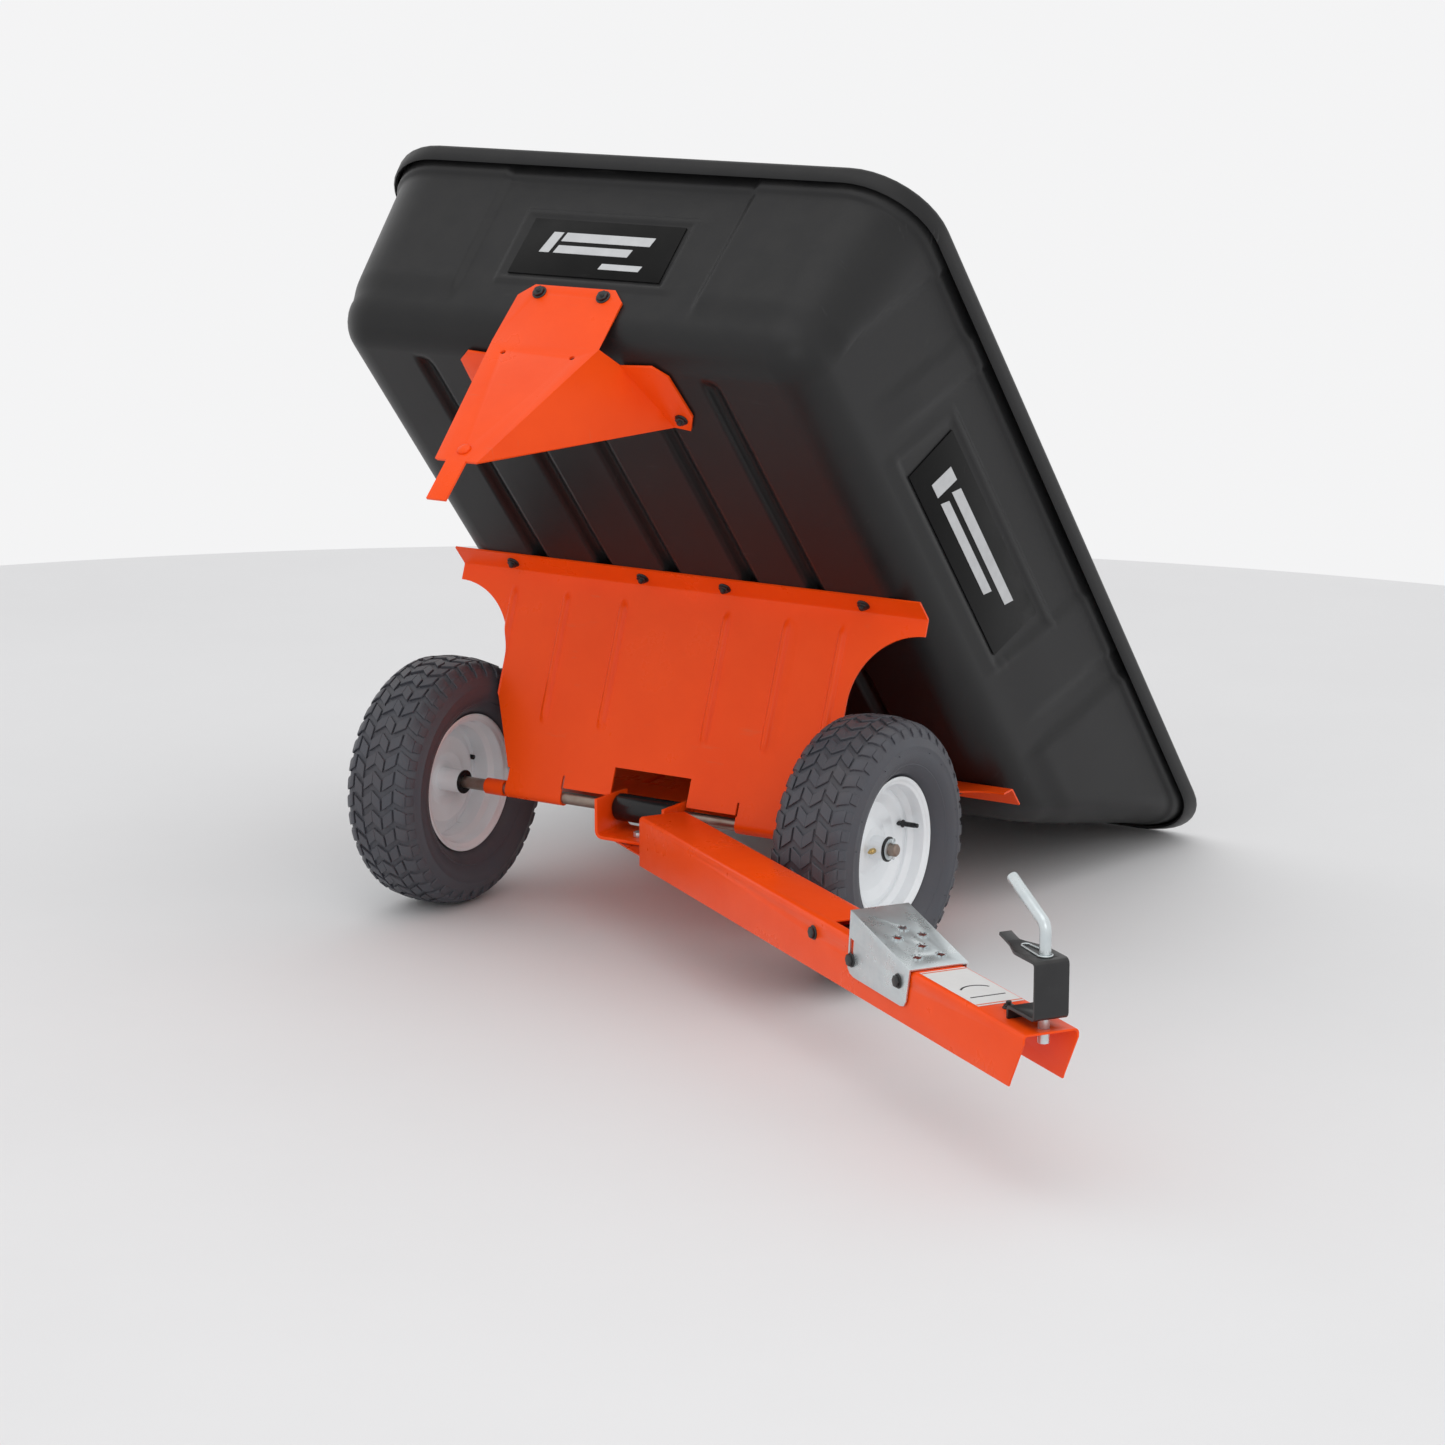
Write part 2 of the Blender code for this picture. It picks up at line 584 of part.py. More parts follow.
# ---- swivel bracket and tow bar ----
def build_bracket():
    section = [(-BRACKET_HALF, BRACKET_TOP), (-BRACKET_HALF, BRACKET_WEB)]
    section += [(BRACKET_HALF, BRACKET_WEB), (BRACKET_HALF, BRACKET_TOP)]
    web = strip("swivel_bracket", fillet(section, 0.010), BRACKET_FRONT, BRACKET_REAR, "Y", BRACKET_SHEET,
                bracket)
    boolean(web, drill("bracket_axle_hole", AXLE_RADIUS + 2 * GAP, -0.09, 0.09, bracket, 20,
                       rotation=ALONG_X))
    boolean(web, drill("bracket_kingpin_hole", KINGPIN_RADIUS + GAP, -0.06, -0.02, bracket, 12,
                       location=(0, KINGPIN_Y, 0)))


def cross_bolt(name, along, up, half, holders, hole=0.0053):
    """A bolt across the bar, with a hole through each piece that it holds."""
    cut = drill(name + "_hole", hole, -0.07, 0.07, tongue, 12, location=(0, along, up), rotation=ALONG_X)
    for holder in holders:
        boolean(holder, cut)
    fastener(name, 0.005, 0.0105, -half, half, tongue, head_high=0.007, steps=12,
             location=(0, along, up), rotation=ALONG_X)


def build_tongue():
    half = TONGUE_HALF - TONGUE_SHEET / 2
    crown = -TONGUE_SHEET / 2
    section = [(-half, -TONGUE_DEEP), (-half, crown), (half, crown), (half, -TONGUE_DEEP)]
    bar = strip("tongue_channel", fillet(section, 0.005), TONGUE_FRONT, TONGUE_REAR, "Y", TONGUE_SHEET,
                tongue)
    slant = [(TONGUE_FRONT - 0.01, 0.004), (TONGUE_FRONT, -0.012), (TONGUE_FRONT + 0.034, -0.072)]
    slant += [(TONGUE_FRONT + 0.042, -0.09), (TONGUE_FRONT - 0.01, -0.09)]
    boolean(bar, as_cutter(prism("front_slant", slant, -0.06, 0.06, "X", tongue)))
    boolean(bar, box("latch_slot", (-SLOT_HALF, SLOT_FRONT, -0.02), (SLOT_HALF, SLOT_REAR, 0.02), tongue))

    web = -0.0677
    inner_half = TONGUE_HALF - TONGUE_SHEET - GAP - 0.0015
    inner_section = [(-inner_half, -0.009), (-inner_half, web), (inner_half, web), (inner_half, -0.009)]
    inner = strip("pivot_channel", fillet(inner_section, 0.006), INNER_FRONT, 0.025, "Y", 0.003, tongue)
    boolean(inner, box("pivot_channel_step", (-0.05, -0.095, web + 0.0035), (0.05, 0.04, 0.01), tongue))

    shank = drill("kingpin_hole", KINGPIN_RADIUS + GAP, -0.08, -0.05, tongue, 12)
    boolean(inner, shank)
    lower, upper = web - 0.0015, BRACKET_WEB + BRACKET_SHEET / 2 - TONGUE_TOP
    fastener("kingpin", KINGPIN_RADIUS, 0.0105, lower, upper, tongue, "zinc", head_high=0.008, steps=12)
    under_bracket = BRACKET_WEB - BRACKET_SHEET / 2 - TONGUE_TOP
    ring("kingpin_washer", KINGPIN_RADIUS + GAP, 0.018, web + 0.0015 + GAP, under_bracket - GAP, 16,
         tongue, "zinc")

    cross_bolt("tongue_bolt", -0.7102, -0.0234, TONGUE_HALF, (bar, inner))
    cross_bolt("pedal_bolt", *PEDAL_PIVOT, PEDAL_HALF, (bar,))
    cross_bolt("stop_bolt", *PEDAL_STOP, PEDAL_HALF, (bar,))

    label = [(-0.034, -1.185), (0.034, -1.185), (0.034, -1.020), (-0.034, -1.020)]
    prism("bar_label", label, GAP, GAP + 0.0006, "Z", tongue, "label")
    return bar


def build_pedal():
    rise = [(-0.834, 0.042), (-1.011, 0.0035)]
    outline = rise + [(-1.0007, -0.0432), (-0.994, -0.0520), (-0.9838, -0.0541), (-0.8431, -0.0527)]
    outline += [(-0.832, -0.0500), (-0.8245, -0.0430)]
    outline = [(along - PEDAL_PIVOT[0], up - PEDAL_PIVOT[1]) for along, up in outline]
    plate = prism("foot_pedal", outline, -PEDAL_HALF, PEDAL_HALF, "X", pedal, "zinc")
    (rear, rear_up), (front, front_up) = outline[0], outline[1]
    slope = (rear_up - front_up) / (rear - front)
    under = PEDAL_SHEET / math.cos(math.atan(slope))
    hollow = [(rear + 0.05, rear_up - under + slope * 0.05), (front - 0.05, front_up - under - slope * 0.05)]
    hollow += [(front - 0.05, -0.06), (rear + 0.05, -0.06)]
    inside = PEDAL_HALF - PEDAL_SHEET
    boolean(plate, as_cutter(prism("pedal_hollow", hollow, -inside, inside, "X", pedal)))
    boolean(plate, drill("pedal_pivot_hole", 0.0053, -0.07, 0.07, pedal, 12, rotation=ALONG_X))

    arm = (PEDAL_STOP[0] - PEDAL_PIVOT[0], PEDAL_STOP[1] - PEDAL_PIVOT[1])
    radius = math.hypot(*arm)
    rest = math.degrees(math.atan2(arm[1], arm[0]))
    spare = math.degrees(0.0056 / radius)
    ends = (rest - spare, rest + math.degrees(PEDAL_PRESS) + spare)
    slot = arc((0, 0), radius + 0.0056, *ends, 6) + arc((0, 0), radius - 0.0056, *ends[::-1], 6)
    boolean(plate, as_cutter(prism("pedal_slot", slot, -0.07, 0.07, "X", pedal)))

    tread = [(-0.018, 0.030), (0.018, 0.030), (0.004, 0.058), (-0.018, 0.088), (0.020, 0.088), (0.002, 0.112)]
    tilt = math.atan(slope)
    for number, (across, back) in enumerate(tread):
        spot = (across, front + back, front_up + slope * back)
        diamond = [(0.008, 0), (0, 0.006), (-0.008, 0), (0, -0.006)]
        boolean(plate, as_cutter(prism(f"tread_{number}", diamond, -0.01, 0.01, "Z", pedal,
                                       location=spot, rotation=(tilt, 0, 0))))


def build_hitch(bar):
    lip, web = -1.2455, -1.3155
    low, high = 0.0165, 0.0925
    line = [(lip, GAP), (lip, low), (web, low), (web, high), (-1.215, high), (-1.192, high + 0.006)]
    hook = strip("hitch_bracket", fillet(line, 0.006), -HITCH_HALF, HITCH_HALF, "X", HITCH_SHEET, tongue,
                 "black")
    for side in (-1, 1):
        taper = [(0.030, -1.265), (0.030, -1.15), (0.009, -1.15), (0.009, -1.214), (0.0115, -1.224)]
        taper += [(0.0235, -1.256), (0.0255, -1.265)]
        points = [(side * across, along) for across, along in taper]
        boolean(hook, as_cutter(prism(f"tail_taper_{side}", points, 0.06, 0.13, "Z", tongue)))
    hole = drill("pin_hole", PIN_RADIUS + 0.0006, -0.02, 0.12, tongue, 16, location=(0, PIN_Y, 0))
    boolean(hook, hole)
    boolean(bar, hole)
    route = [(0, PIN_Y, -0.022), (0, PIN_Y, 0.128), (0, PIN_Y + 0.0035, 0.137), (0, PIN_Y + 0.012, 0.1425)]
    wire("hitch_pin", route + [(0, PIN_Y + 0.090, 0.178)], PIN_RADIUS, tongue, "zinc", sides=3)
    level = high + HITCH_SHEET / 2 + 0.0017
    loop = arc((0, PIN_Y), PIN_RADIUS + 0.0017, 180, 360, 8) + arc((0, PIN_Y + 0.050), 0.006, 0, 180, 5)
    wire("pin_clip", [(across, along, level) for across, along in loop], 0.0012, tongue, "zinc", sides=0,
         cyclic=True)
    spot = (0, -1.205, 0)
    boolean(bar, drill("hitch_bolt_hole", 0.0043, -0.02, 0.02, tongue, 10, location=spot))
    fastener("hitch_bolt", 0.004, 0.0085, -TONGUE_SHEET, 0, tongue, location=spot)


def stand_on_origin():
    """Moves the row's empty so that the model stands on the origin, with its box centred on it."""
    bpy.context.view_layer.update()
    graph = bpy.context.evaluated_depsgraph_get()
    corners = []
    for piece in parts.objects:
        if piece.type == "MESH":
            solid = piece.evaluated_get(graph)
            corners += [solid.matrix_world @ vertex.co for vertex in solid.data.vertices]
    low = Vector([min(corner[axis] for corner in corners) for axis in range(3)])
    high = Vector([max(corner[axis] for corner in corners) for axis in range(3)])
    row.location = (-(low.x + high.x) / 2, -(low.y + high.y) / 2, -low.z)
    bpy.context.view_layer.update()


build_axle()
build_wheel("left", 1)
build_wheel("right", -1)
tub_shell = build_tub()
supports = (
    ("front_support", FRONT_FLANGE, (0.165, 0.2735), -1),
    ("rear_support", REAR_FLANGE, (0.280, 0.316), 1),
)
for support_name, flange_edges, knuckle_span, facing_side in supports:
    support = build_support(support_name, flange_edges, knuckle_span, facing_side)
    for bolt_number, bolt_x in enumerate(SUPPORT_BOLT_X, 1):
        bolt_to_floor(tub_shell, support, bolt_x, sum(flange_edges) / 2, f"{support_name}_bolt_{bolt_number}",
                      SUPPORT_SHEET)
build_nose(tub_shell)
build_badges()
build_bracket()
tow_bar = build_tongue()
build_pedal()
build_hitch(tow_bar)
stand_on_origin()
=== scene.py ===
# %% [markdown]
# # A garden cart with a tipping tub
# This lesson dresses an exact frame of the cart in detailed, finished pieces. The frame gives each piece
# its place, and each piece rides on the body that it moves with: the axle, a wheel, the bed, the swivel
# bracket, the tow bar, the foot pedal or the hitch pin.

# %% Load the frame
import math

import bpy
from mathutils import Matrix, Vector


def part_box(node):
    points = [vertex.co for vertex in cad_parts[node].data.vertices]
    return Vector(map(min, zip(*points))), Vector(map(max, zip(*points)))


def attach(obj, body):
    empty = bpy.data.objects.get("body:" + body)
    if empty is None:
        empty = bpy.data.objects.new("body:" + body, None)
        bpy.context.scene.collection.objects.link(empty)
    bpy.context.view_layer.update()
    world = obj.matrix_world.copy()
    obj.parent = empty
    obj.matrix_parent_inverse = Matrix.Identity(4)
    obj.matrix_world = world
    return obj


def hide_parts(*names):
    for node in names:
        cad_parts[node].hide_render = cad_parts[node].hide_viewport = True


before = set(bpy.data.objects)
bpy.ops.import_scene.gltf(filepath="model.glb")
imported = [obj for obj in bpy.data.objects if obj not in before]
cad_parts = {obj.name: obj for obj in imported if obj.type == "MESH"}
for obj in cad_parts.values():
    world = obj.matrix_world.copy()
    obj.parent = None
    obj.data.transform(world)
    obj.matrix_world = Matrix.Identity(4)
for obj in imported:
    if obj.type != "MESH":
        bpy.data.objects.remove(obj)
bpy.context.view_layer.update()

# %% [markdown]
# The tub and its brackets are easiest to model level, and the tow bar straight ahead, so each has a place
# matrix that carries finished work to where it stands. Both start at the axle's centre.

# %% Places
TILT = math.radians(49.25)
SWIVEL = math.radians(57.0)
TRACK_HALF = 0.399


def middle(node):
    low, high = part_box(node)
    return (Vector(low) + Vector(high)) / 2


AXLE = middle("axle")
KINGPIN = middle("kingpin")
BAR_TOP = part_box("tongue_channel")[1][2]
BED = Matrix.Translation(AXLE) @ Matrix.Rotation(-TILT, 4, "X")
BAR = Matrix.Translation((KINGPIN.x, KINGPIN.y, BAR_TOP)) @ Matrix.Rotation(SWIVEL, 4, "Z")
HUB = {
    "left": Matrix.Translation(AXLE + Vector((TRACK_HALF, 0, 0))) @ Matrix.Rotation(math.pi / 2, 4, "Y"),
    "right": Matrix.Translation(AXLE - Vector((TRACK_HALF, 0, 0))) @ Matrix.Rotation(-math.pi / 2, 4, "Y"),
}
ALONG_X = Matrix.Rotation(math.pi / 2, 4, "Y")
print("axle", [round(value, 4) for value in AXLE], "kingpin", [round(value, 4) for value in KINGPIN])

# %% [markdown]
# ## Finishes
# A real surface is never one flat colour. Three small effects are shared by most finishes here, so each is
# a node group with named inputs: a fine grain that lifts the surface, large soft patches where the colour
# and gloss drift, and dust that settles on faces that look up.

# %% Shared effects


def new_group(name, inputs, outputs):
    group = bpy.data.node_groups.new(name, "ShaderNodeTree")
    for label, value in inputs:
        socket = group.interface.new_socket(label, in_out="INPUT", socket_type="NodeSocketFloat")
        socket.default_value = value
    for label in outputs:
        group.interface.new_socket(label, in_out="OUTPUT", socket_type="NodeSocketFloat")
    start = group.nodes.new("NodeGroupInput")
    end = group.nodes.new("NodeGroupOutput")
    return group, start, end


def noise_node(tree, coordinates, scale, detail=4.0, roughness=0.55):
    noise = tree.nodes.new("ShaderNodeTexNoise")
    noise.inputs["Detail"].default_value = detail
    noise.inputs["Roughness"].default_value = roughness
    if isinstance(scale, (int, float)):
        noise.inputs["Scale"].default_value = scale
    else:
        tree.links.new(scale, noise.inputs["Scale"])
    tree.links.new(coordinates, noise.inputs["Vector"])
    return noise.outputs["Fac"]


def ramp_between(tree, value, low, high):
    """0 below low, 1 above high, and a straight ramp between."""
    node = tree.nodes.new("ShaderNodeMapRange")
    node.inputs["From Min"].default_value = low
    node.inputs["From Max"].default_value = high
    tree.links.new(value, node.inputs["Value"])
    return node.outputs["Result"]


def product(tree, first, second):
    node = tree.nodes.new("ShaderNodeMath")
    node.operation = "MULTIPLY"
    for socket, value in zip(node.inputs, (first, second)):
        if isinstance(value, (int, float)):
            socket.default_value = value
        else:
            tree.links.new(value, socket)
    return node.outputs[0]


def make_effects():
    grain, start, end = new_group("surface_grain", [("Scale", 600.0)], ["Height"])
    here = grain.nodes.new("ShaderNodeTexCoord").outputs["Object"]
    grain.links.new(noise_node(grain, here, start.outputs["Scale"]), end.inputs["Height"])

    patches, start, end = new_group("soft_patches", [("Scale", 9.0)], ["Mask", "Scratches"])
    here = patches.nodes.new("ShaderNodeTexCoord").outputs["Object"]
    broad = noise_node(patches, here, start.outputs["Scale"], 6.0, 0.6)
    patches.links.new(ramp_between(patches, broad, 0.35, 0.7), end.inputs["Mask"])
    stretch = patches.nodes.new("ShaderNodeMapping")
    stretch.inputs["Scale"].default_value = (14.0, 170.0, 30.0)
    stretch.inputs["Rotation"].default_value = (0.4, 0.2, 0.7)
    patches.links.new(here, stretch.inputs["Vector"])
    lines = noise_node(patches, stretch.outputs["Vector"], 1.0, 3.0)
    patches.links.new(product(patches, ramp_between(patches, lines, 0.66, 0.74), ramp_between(patches, broad, 0.5, 0.7)),
                      end.inputs["Scratches"])

    dust, start, end = new_group("settled_dust", [("Amount", 0.2)], ["Mask"])
    here = dust.nodes.new("ShaderNodeTexCoord").outputs["Object"]
    normal = dust.nodes.new("ShaderNodeNewGeometry").outputs["Normal"]
    split = dust.nodes.new("ShaderNodeSeparateXYZ")
    dust.links.new(normal, split.inputs["Vector"])
    up = ramp_between(dust, split.outputs["Z"], 0.25, 0.95)
    cloud = ramp_between(dust, noise_node(dust, here, 22.0, 8.0, 0.65), 0.38, 0.72)
    dust.links.new(product(dust, product(dust, up, cloud), start.outputs["Amount"]), end.inputs["Mask"])
    return {"grain": grain, "patches": patches, "dust": dust}


EFFECTS = make_effects()
print("effects:", sorted(EFFECTS))

# %% [markdown]
# One recipe serves every finish: a base colour that drifts towards a second one in patches, pale scratches,
# a little dust, a gloss that follows the same patches, and grain as a bump. Powder coat, moulded poly,
# rubber and plated steel differ only in their values, as they do in a paint shop's card.

# %% Finish recipe


def mix_colour(tree, mask, first, second):
    node = tree.nodes.new("ShaderNodeMix")
    node.data_type = "RGBA"
    colours = [socket for socket in node.inputs if socket.type == "RGBA"]
    tree.links.new(mask, node.inputs[0])
    for socket, value in zip(colours, (first, second)):
        if isinstance(value, tuple):
            socket.default_value = (*value, 1.0)
        else:
            tree.links.new(value, socket)
    return [socket for socket in node.outputs if socket.type == "RGBA"][0]


def use(tree, effect, **values):
    node = tree.nodes.new("ShaderNodeGroup")
    node.node_tree = EFFECTS[effect]
    for label, value in values.items():
        node.inputs[label].default_value = value
    return node.outputs


def finish(name, colour, drift, roughness, metallic=0.0, grain=(600.0, 0.05), patch=9.0, scratch=None,
           dust=0.15, coat=0.0, specular=0.5):
    material = bpy.data.materials.new(name)
    material.use_nodes = True
    tree = material.node_tree
    shader = tree.nodes["Principled BSDF"]
    patches = use(tree, "patches", Scale=patch)
    skin = mix_colour(tree, patches["Mask"], colour, drift)
    if scratch:
        skin = mix_colour(tree, patches["Scratches"], skin, scratch)
    settled = use(tree, "dust", Amount=dust)
    skin = mix_colour(tree, settled["Mask"], skin, (0.35, 0.32, 0.28))
    tree.links.new(skin, shader.inputs["Base Color"])
    gloss = tree.nodes.new("ShaderNodeMapRange")
    gloss.inputs["To Min"].default_value = roughness[0]
    gloss.inputs["To Max"].default_value = roughness[1]
    tree.links.new(patches["Mask"], gloss.inputs["Value"])
    tree.links.new(gloss.outputs["Result"], shader.inputs["Roughness"])
    bump = tree.nodes.new("ShaderNodeBump")
    bump.inputs["Strength"].default_value = grain[1]
    bump.inputs["Distance"].default_value = 0.001
    tree.links.new(use(tree, "grain", Scale=grain[0])["Height"], bump.inputs["Height"])
    tree.links.new(bump.outputs["Normal"], shader.inputs["Normal"])
    shader.inputs["Metallic"].default_value = metallic
    shader.inputs["Coat Weight"].default_value = coat
    shader.inputs["Coat Roughness"].default_value = 0.12
    shader.inputs["Specular IOR Level"].default_value = specular
    return material


LOOKS = {
    "orange": finish("orange_powder_coat", (0.95, 0.080, 0.004), (0.90, 0.070, 0.003), (0.26, 0.36),
                     grain=(420.0, 0.10), scratch=(0.84, 0.11, 0.03), dust=0.01, coat=0.0, specular=0.22),
    "poly": finish("black_moulded_poly", (0.0110, 0.0110, 0.0115), (0.0150, 0.0150, 0.0155), (0.36, 0.46),
                   grain=(900.0, 0.16), patch=5.0, scratch=(0.035, 0.035, 0.035), dust=0.02, specular=0.28),
    "black": finish("black_coated_steel", (0.011, 0.011, 0.012), (0.016, 0.016, 0.017), (0.30, 0.42),
                    grain=(800.0, 0.12), patch=30.0, scratch=(0.09, 0.09, 0.09), dust=0.08),
    "nylon": finish("black_nylon", (0.008, 0.008, 0.009), (0.011, 0.011, 0.012), (0.18, 0.28),
                    grain=(700.0, 0.05), patch=20.0, dust=0.02, specular=0.35),
    "plate": finish("black_badge_plate", (0.003, 0.003, 0.003), (0.005, 0.005, 0.005), (0.30, 0.40),
                    grain=(700.0, 0.03), patch=20.0, scratch=(0.02, 0.02, 0.02), dust=0.01, specular=0.12),
    "rubber": finish("tyre_rubber", (0.064, 0.068, 0.082), (0.074, 0.072, 0.082), (0.46, 0.60),
                     grain=(500.0, 0.25), patch=16.0, dust=0.08, specular=0.4),
    "silver": finish("wheel_silver", (0.88, 0.91, 0.93), (0.82, 0.85, 0.87), (0.28, 0.38), metallic=0.12,
                     grain=(900.0, 0.06), patch=12.0, scratch=(0.62, 0.62, 0.62), dust=0.04, coat=0.3),
    "steel": finish("oiled_steel", (0.36, 0.30, 0.26), (0.24, 0.17, 0.13), (0.28, 0.45), metallic=0.9,
                    grain=(300.0, 0.10), patch=26.0, scratch=(0.5, 0.47, 0.44), dust=0.08),
    "zinc": finish("bright_zinc", (0.68, 0.73, 0.74), (0.60, 0.66, 0.68), (0.24, 0.40), metallic=0.75,
                   grain=(500.0, 0.08), patch=40.0, scratch=(0.66, 0.68, 0.69), dust=0.05),
    "brass": finish("plain_brass", (0.62, 0.44, 0.18), (0.48, 0.32, 0.12), (0.22, 0.36), metallic=0.95,
                    grain=(900.0, 0.05), patch=60.0, dust=0.05),
    "film": finish("white_label_film", (0.80, 0.80, 0.79), (0.76, 0.76, 0.75), (0.35, 0.42),
                   grain=(500.0, 0.03), patch=20.0, dust=0.08),
    "ink": finish("orange_ink", (0.78, 0.13, 0.04), (0.72, 0.11, 0.035), (0.35, 0.45),
                  grain=(500.0, 0.03), patch=30.0, dust=0.05),
    "foil": finish("silver_foil", (0.60, 0.61, 0.62), (0.52, 0.53, 0.54), (0.28, 0.36), metallic=0.4,
                   grain=(900.0, 0.03), patch=30.0, dust=0.04),
}
print(len(LOOKS), "finishes")

# %% [markdown]
# ## Bench helpers
# Blender's operators act on whatever is selected, so each step starts by letting go of everything. The
# helpers below are the moves that a modeller makes by hand: draw an outline and push it through, give a
# sheet its thickness, round the edges, and spin a section round an axis.

# %% Select and apply


def let_go():
    if bpy.context.object is not None and bpy.context.object.mode != "OBJECT":
        bpy.ops.object.mode_set(mode="OBJECT")
    bpy.ops.object.select_all(action="DESELECT")


def take(*objects):
    let_go()
    for item in objects:
        item.select_set(True)
    bpy.context.view_layer.objects.active = objects[0]


def mark(piece, kind, test):
    """Selects the vertices, edges or faces whose middle passes a test, and leaves edit mode open."""
    take(piece)
    bpy.ops.object.mode_set(mode="EDIT")
    bpy.ops.mesh.select_mode(type=kind)
    bpy.ops.mesh.select_all(action="DESELECT")
    bpy.ops.object.mode_set(mode="OBJECT")
    mesh = piece.data
    if kind == "VERT":
        for vertex in mesh.vertices:
            vertex.select = test(vertex.co)
    elif kind == "EDGE":
        for edge in mesh.edges:
            first, second = (mesh.vertices[index].co for index in edge.vertices)
            edge.select = test((first + second) / 2, first - second)
    else:
        for face in mesh.polygons:
            face.select = test(face.center, face.normal)
    bpy.ops.object.mode_set(mode="EDIT")


def heal(piece, distance=0.00001):
    """Merges doubled points and turns every face outward."""
    take(piece)
    bpy.ops.object.mode_set(mode="EDIT")
    bpy.ops.mesh.select_all(action="SELECT")
    bpy.ops.mesh.remove_doubles(threshold=distance)
    bpy.ops.mesh.delete_loose(use_verts=True, use_edges=True, use_faces=False)
    bpy.ops.mesh.select_all(action="SELECT")
    bpy.ops.mesh.normals_make_consistent(inside=False)
    bpy.ops.object.mode_set(mode="OBJECT")


def apply_all(piece):
    take(piece)
    for modifier in list(piece.modifiers):
        bpy.ops.object.modifier_apply(modifier=modifier.name)


def soften(piece, width, segments=2, angle=35):
    bevel = piece.modifiers.new("soft_edges", "BEVEL")
    bevel.width = width
    bevel.segments = segments
    bevel.limit_method = "ANGLE"
    bevel.angle_limit = math.radians(angle)
    bevel.use_clamp_overlap = True
    apply_all(piece)


def thicken(piece, thickness, offset=0.0):
    sheet = piece.modifiers.new("sheet", "SOLIDIFY")
    sheet.thickness = thickness
    sheet.offset = offset
    sheet.use_even_offset = True
    apply_all(piece)


def carve(piece, *tools):
    """Cuts the tools out of the piece, and throws them away."""
    for tool in tools:
        step = piece.modifiers.new("cut", "BOOLEAN")
        step.object = tool
        step.operation = "DIFFERENCE"
        apply_all(piece)
        bpy.data.objects.remove(tool, do_unlink=True)


def move(piece, place):
    """Moves a piece by a place matrix, and bakes that into its mesh."""
    take(piece)
    piece.matrix_world = place @ piece.matrix_world
    bpy.ops.object.transform_apply(location=True, rotation=True, scale=True)
    return piece


def join(name, *pieces):
    take(*pieces)
    if len(pieces) > 1:
        bpy.ops.object.join()
    pieces[0].name = name
    return pieces[0]


def deliver(piece, body, look, slot, *nodes, angle=32):
    """Smooths a finished piece, gives it its finish, and hands it to its body."""
    take(piece)
    bpy.ops.object.shade_smooth_by_angle(angle=math.radians(angle))
    piece.data.materials.clear()
    piece.data.materials.append(LOOKS[look])
    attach(piece, body)
    if nodes:
        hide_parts(*nodes)
    print(piece.name, "on", body, "faces", len(piece.data.polygons))
    return piece


# %% Outlines and turned work


def arc(centre, radius, first, last, steps):
    """Points on a circle between two angles in degrees."""
    turns = [math.radians(first + (last - first) * step / steps) for step in range(steps + 1)]
    return [(centre[0] + radius * math.cos(turn), centre[1] + radius * math.sin(turn)) for turn in turns]


def outline_face(name, points):
    """A flat face with the given corners, from a circle."""
    let_go()
    bpy.ops.mesh.primitive_circle_add(vertices=len(points), radius=0.1, fill_type="NGON")
    piece = bpy.context.object
    piece.name = name
    for vertex, (across, along) in zip(piece.data.vertices, points):
        vertex.co = (across, along, 0)
    return piece


def slab(name, points, low, high):
    """A flat outline pushed from low to high along Z."""
    piece = outline_face(name, points)
    bpy.ops.object.mode_set(mode="EDIT")
    bpy.ops.mesh.select_all(action="SELECT")
    bpy.ops.transform.translate(value=(0, 0, low))
    bpy.ops.mesh.extrude_region_move(TRANSFORM_OT_translate={"value": (0, 0, high - low)})
    bpy.ops.object.mode_set(mode="OBJECT")
    heal(piece)
    return piece


def turned(name, profile, steps=48, rounding=0.0):
    """A section of (radius, height) points spun round Z."""
    let_go()
    bpy.ops.mesh.primitive_circle_add(vertices=len(profile), radius=0.1, fill_type="NOTHING")
    piece = bpy.context.object
    piece.name = name
    for vertex, (radius, height) in zip(piece.data.vertices, profile):
        vertex.co = (radius, 0, height)
    if rounding:
        mark(piece, "VERT", lambda spot: spot.x > 0.00001)
        bpy.ops.mesh.bevel(offset=rounding, segments=3, affect="VERTICES")
    mark(piece, "EDGE", lambda spot, way: spot.x < 0.00001)
    bpy.ops.mesh.delete(type="EDGE")
    bpy.ops.mesh.select_all(action="SELECT")
    bpy.ops.mesh.spin(steps=steps, angle=2 * math.pi, center=(0, 0, 0), axis=(0, 0, 1))
    bpy.ops.object.mode_set(mode="OBJECT")
    heal(piece)
    return piece


def rod(name, points, radius, closed=False):
    """A round wire along a line of points."""
    curve = bpy.data.curves.new(name, "CURVE")
    curve.dimensions = "3D"
    curve.bevel_depth = radius
    curve.bevel_resolution = 4
    curve.use_fill_caps = True
    spline = curve.splines.new("POLY")
    spline.points.add(len(points) - 1)
    spline.use_cyclic_u = closed
    for knot, point in zip(spline.points, points):
        knot.co = (*point, 1.0)
    piece = bpy.data.objects.new(name, curve)
    bpy.context.scene.collection.objects.link(piece)
    take(piece)
    bpy.ops.object.convert(target="MESH")
    piece = bpy.context.object
    heal(piece)
    return piece


print("bench ready")

# %% [markdown]
# ## The tub
# The real tub is one rotationally moulded shell of polyethylene: a flat floor with long stiffening grooves,
# big rounded corners, panels pressed into the walls, and a rolled lip. Moulded details follow the shell's own
# lines, so the shell is laid out as a net whose lines are crowded where a crease will be. The floor is a
# grid, and its rim is extruded ring by ring up the walls and over the lip.

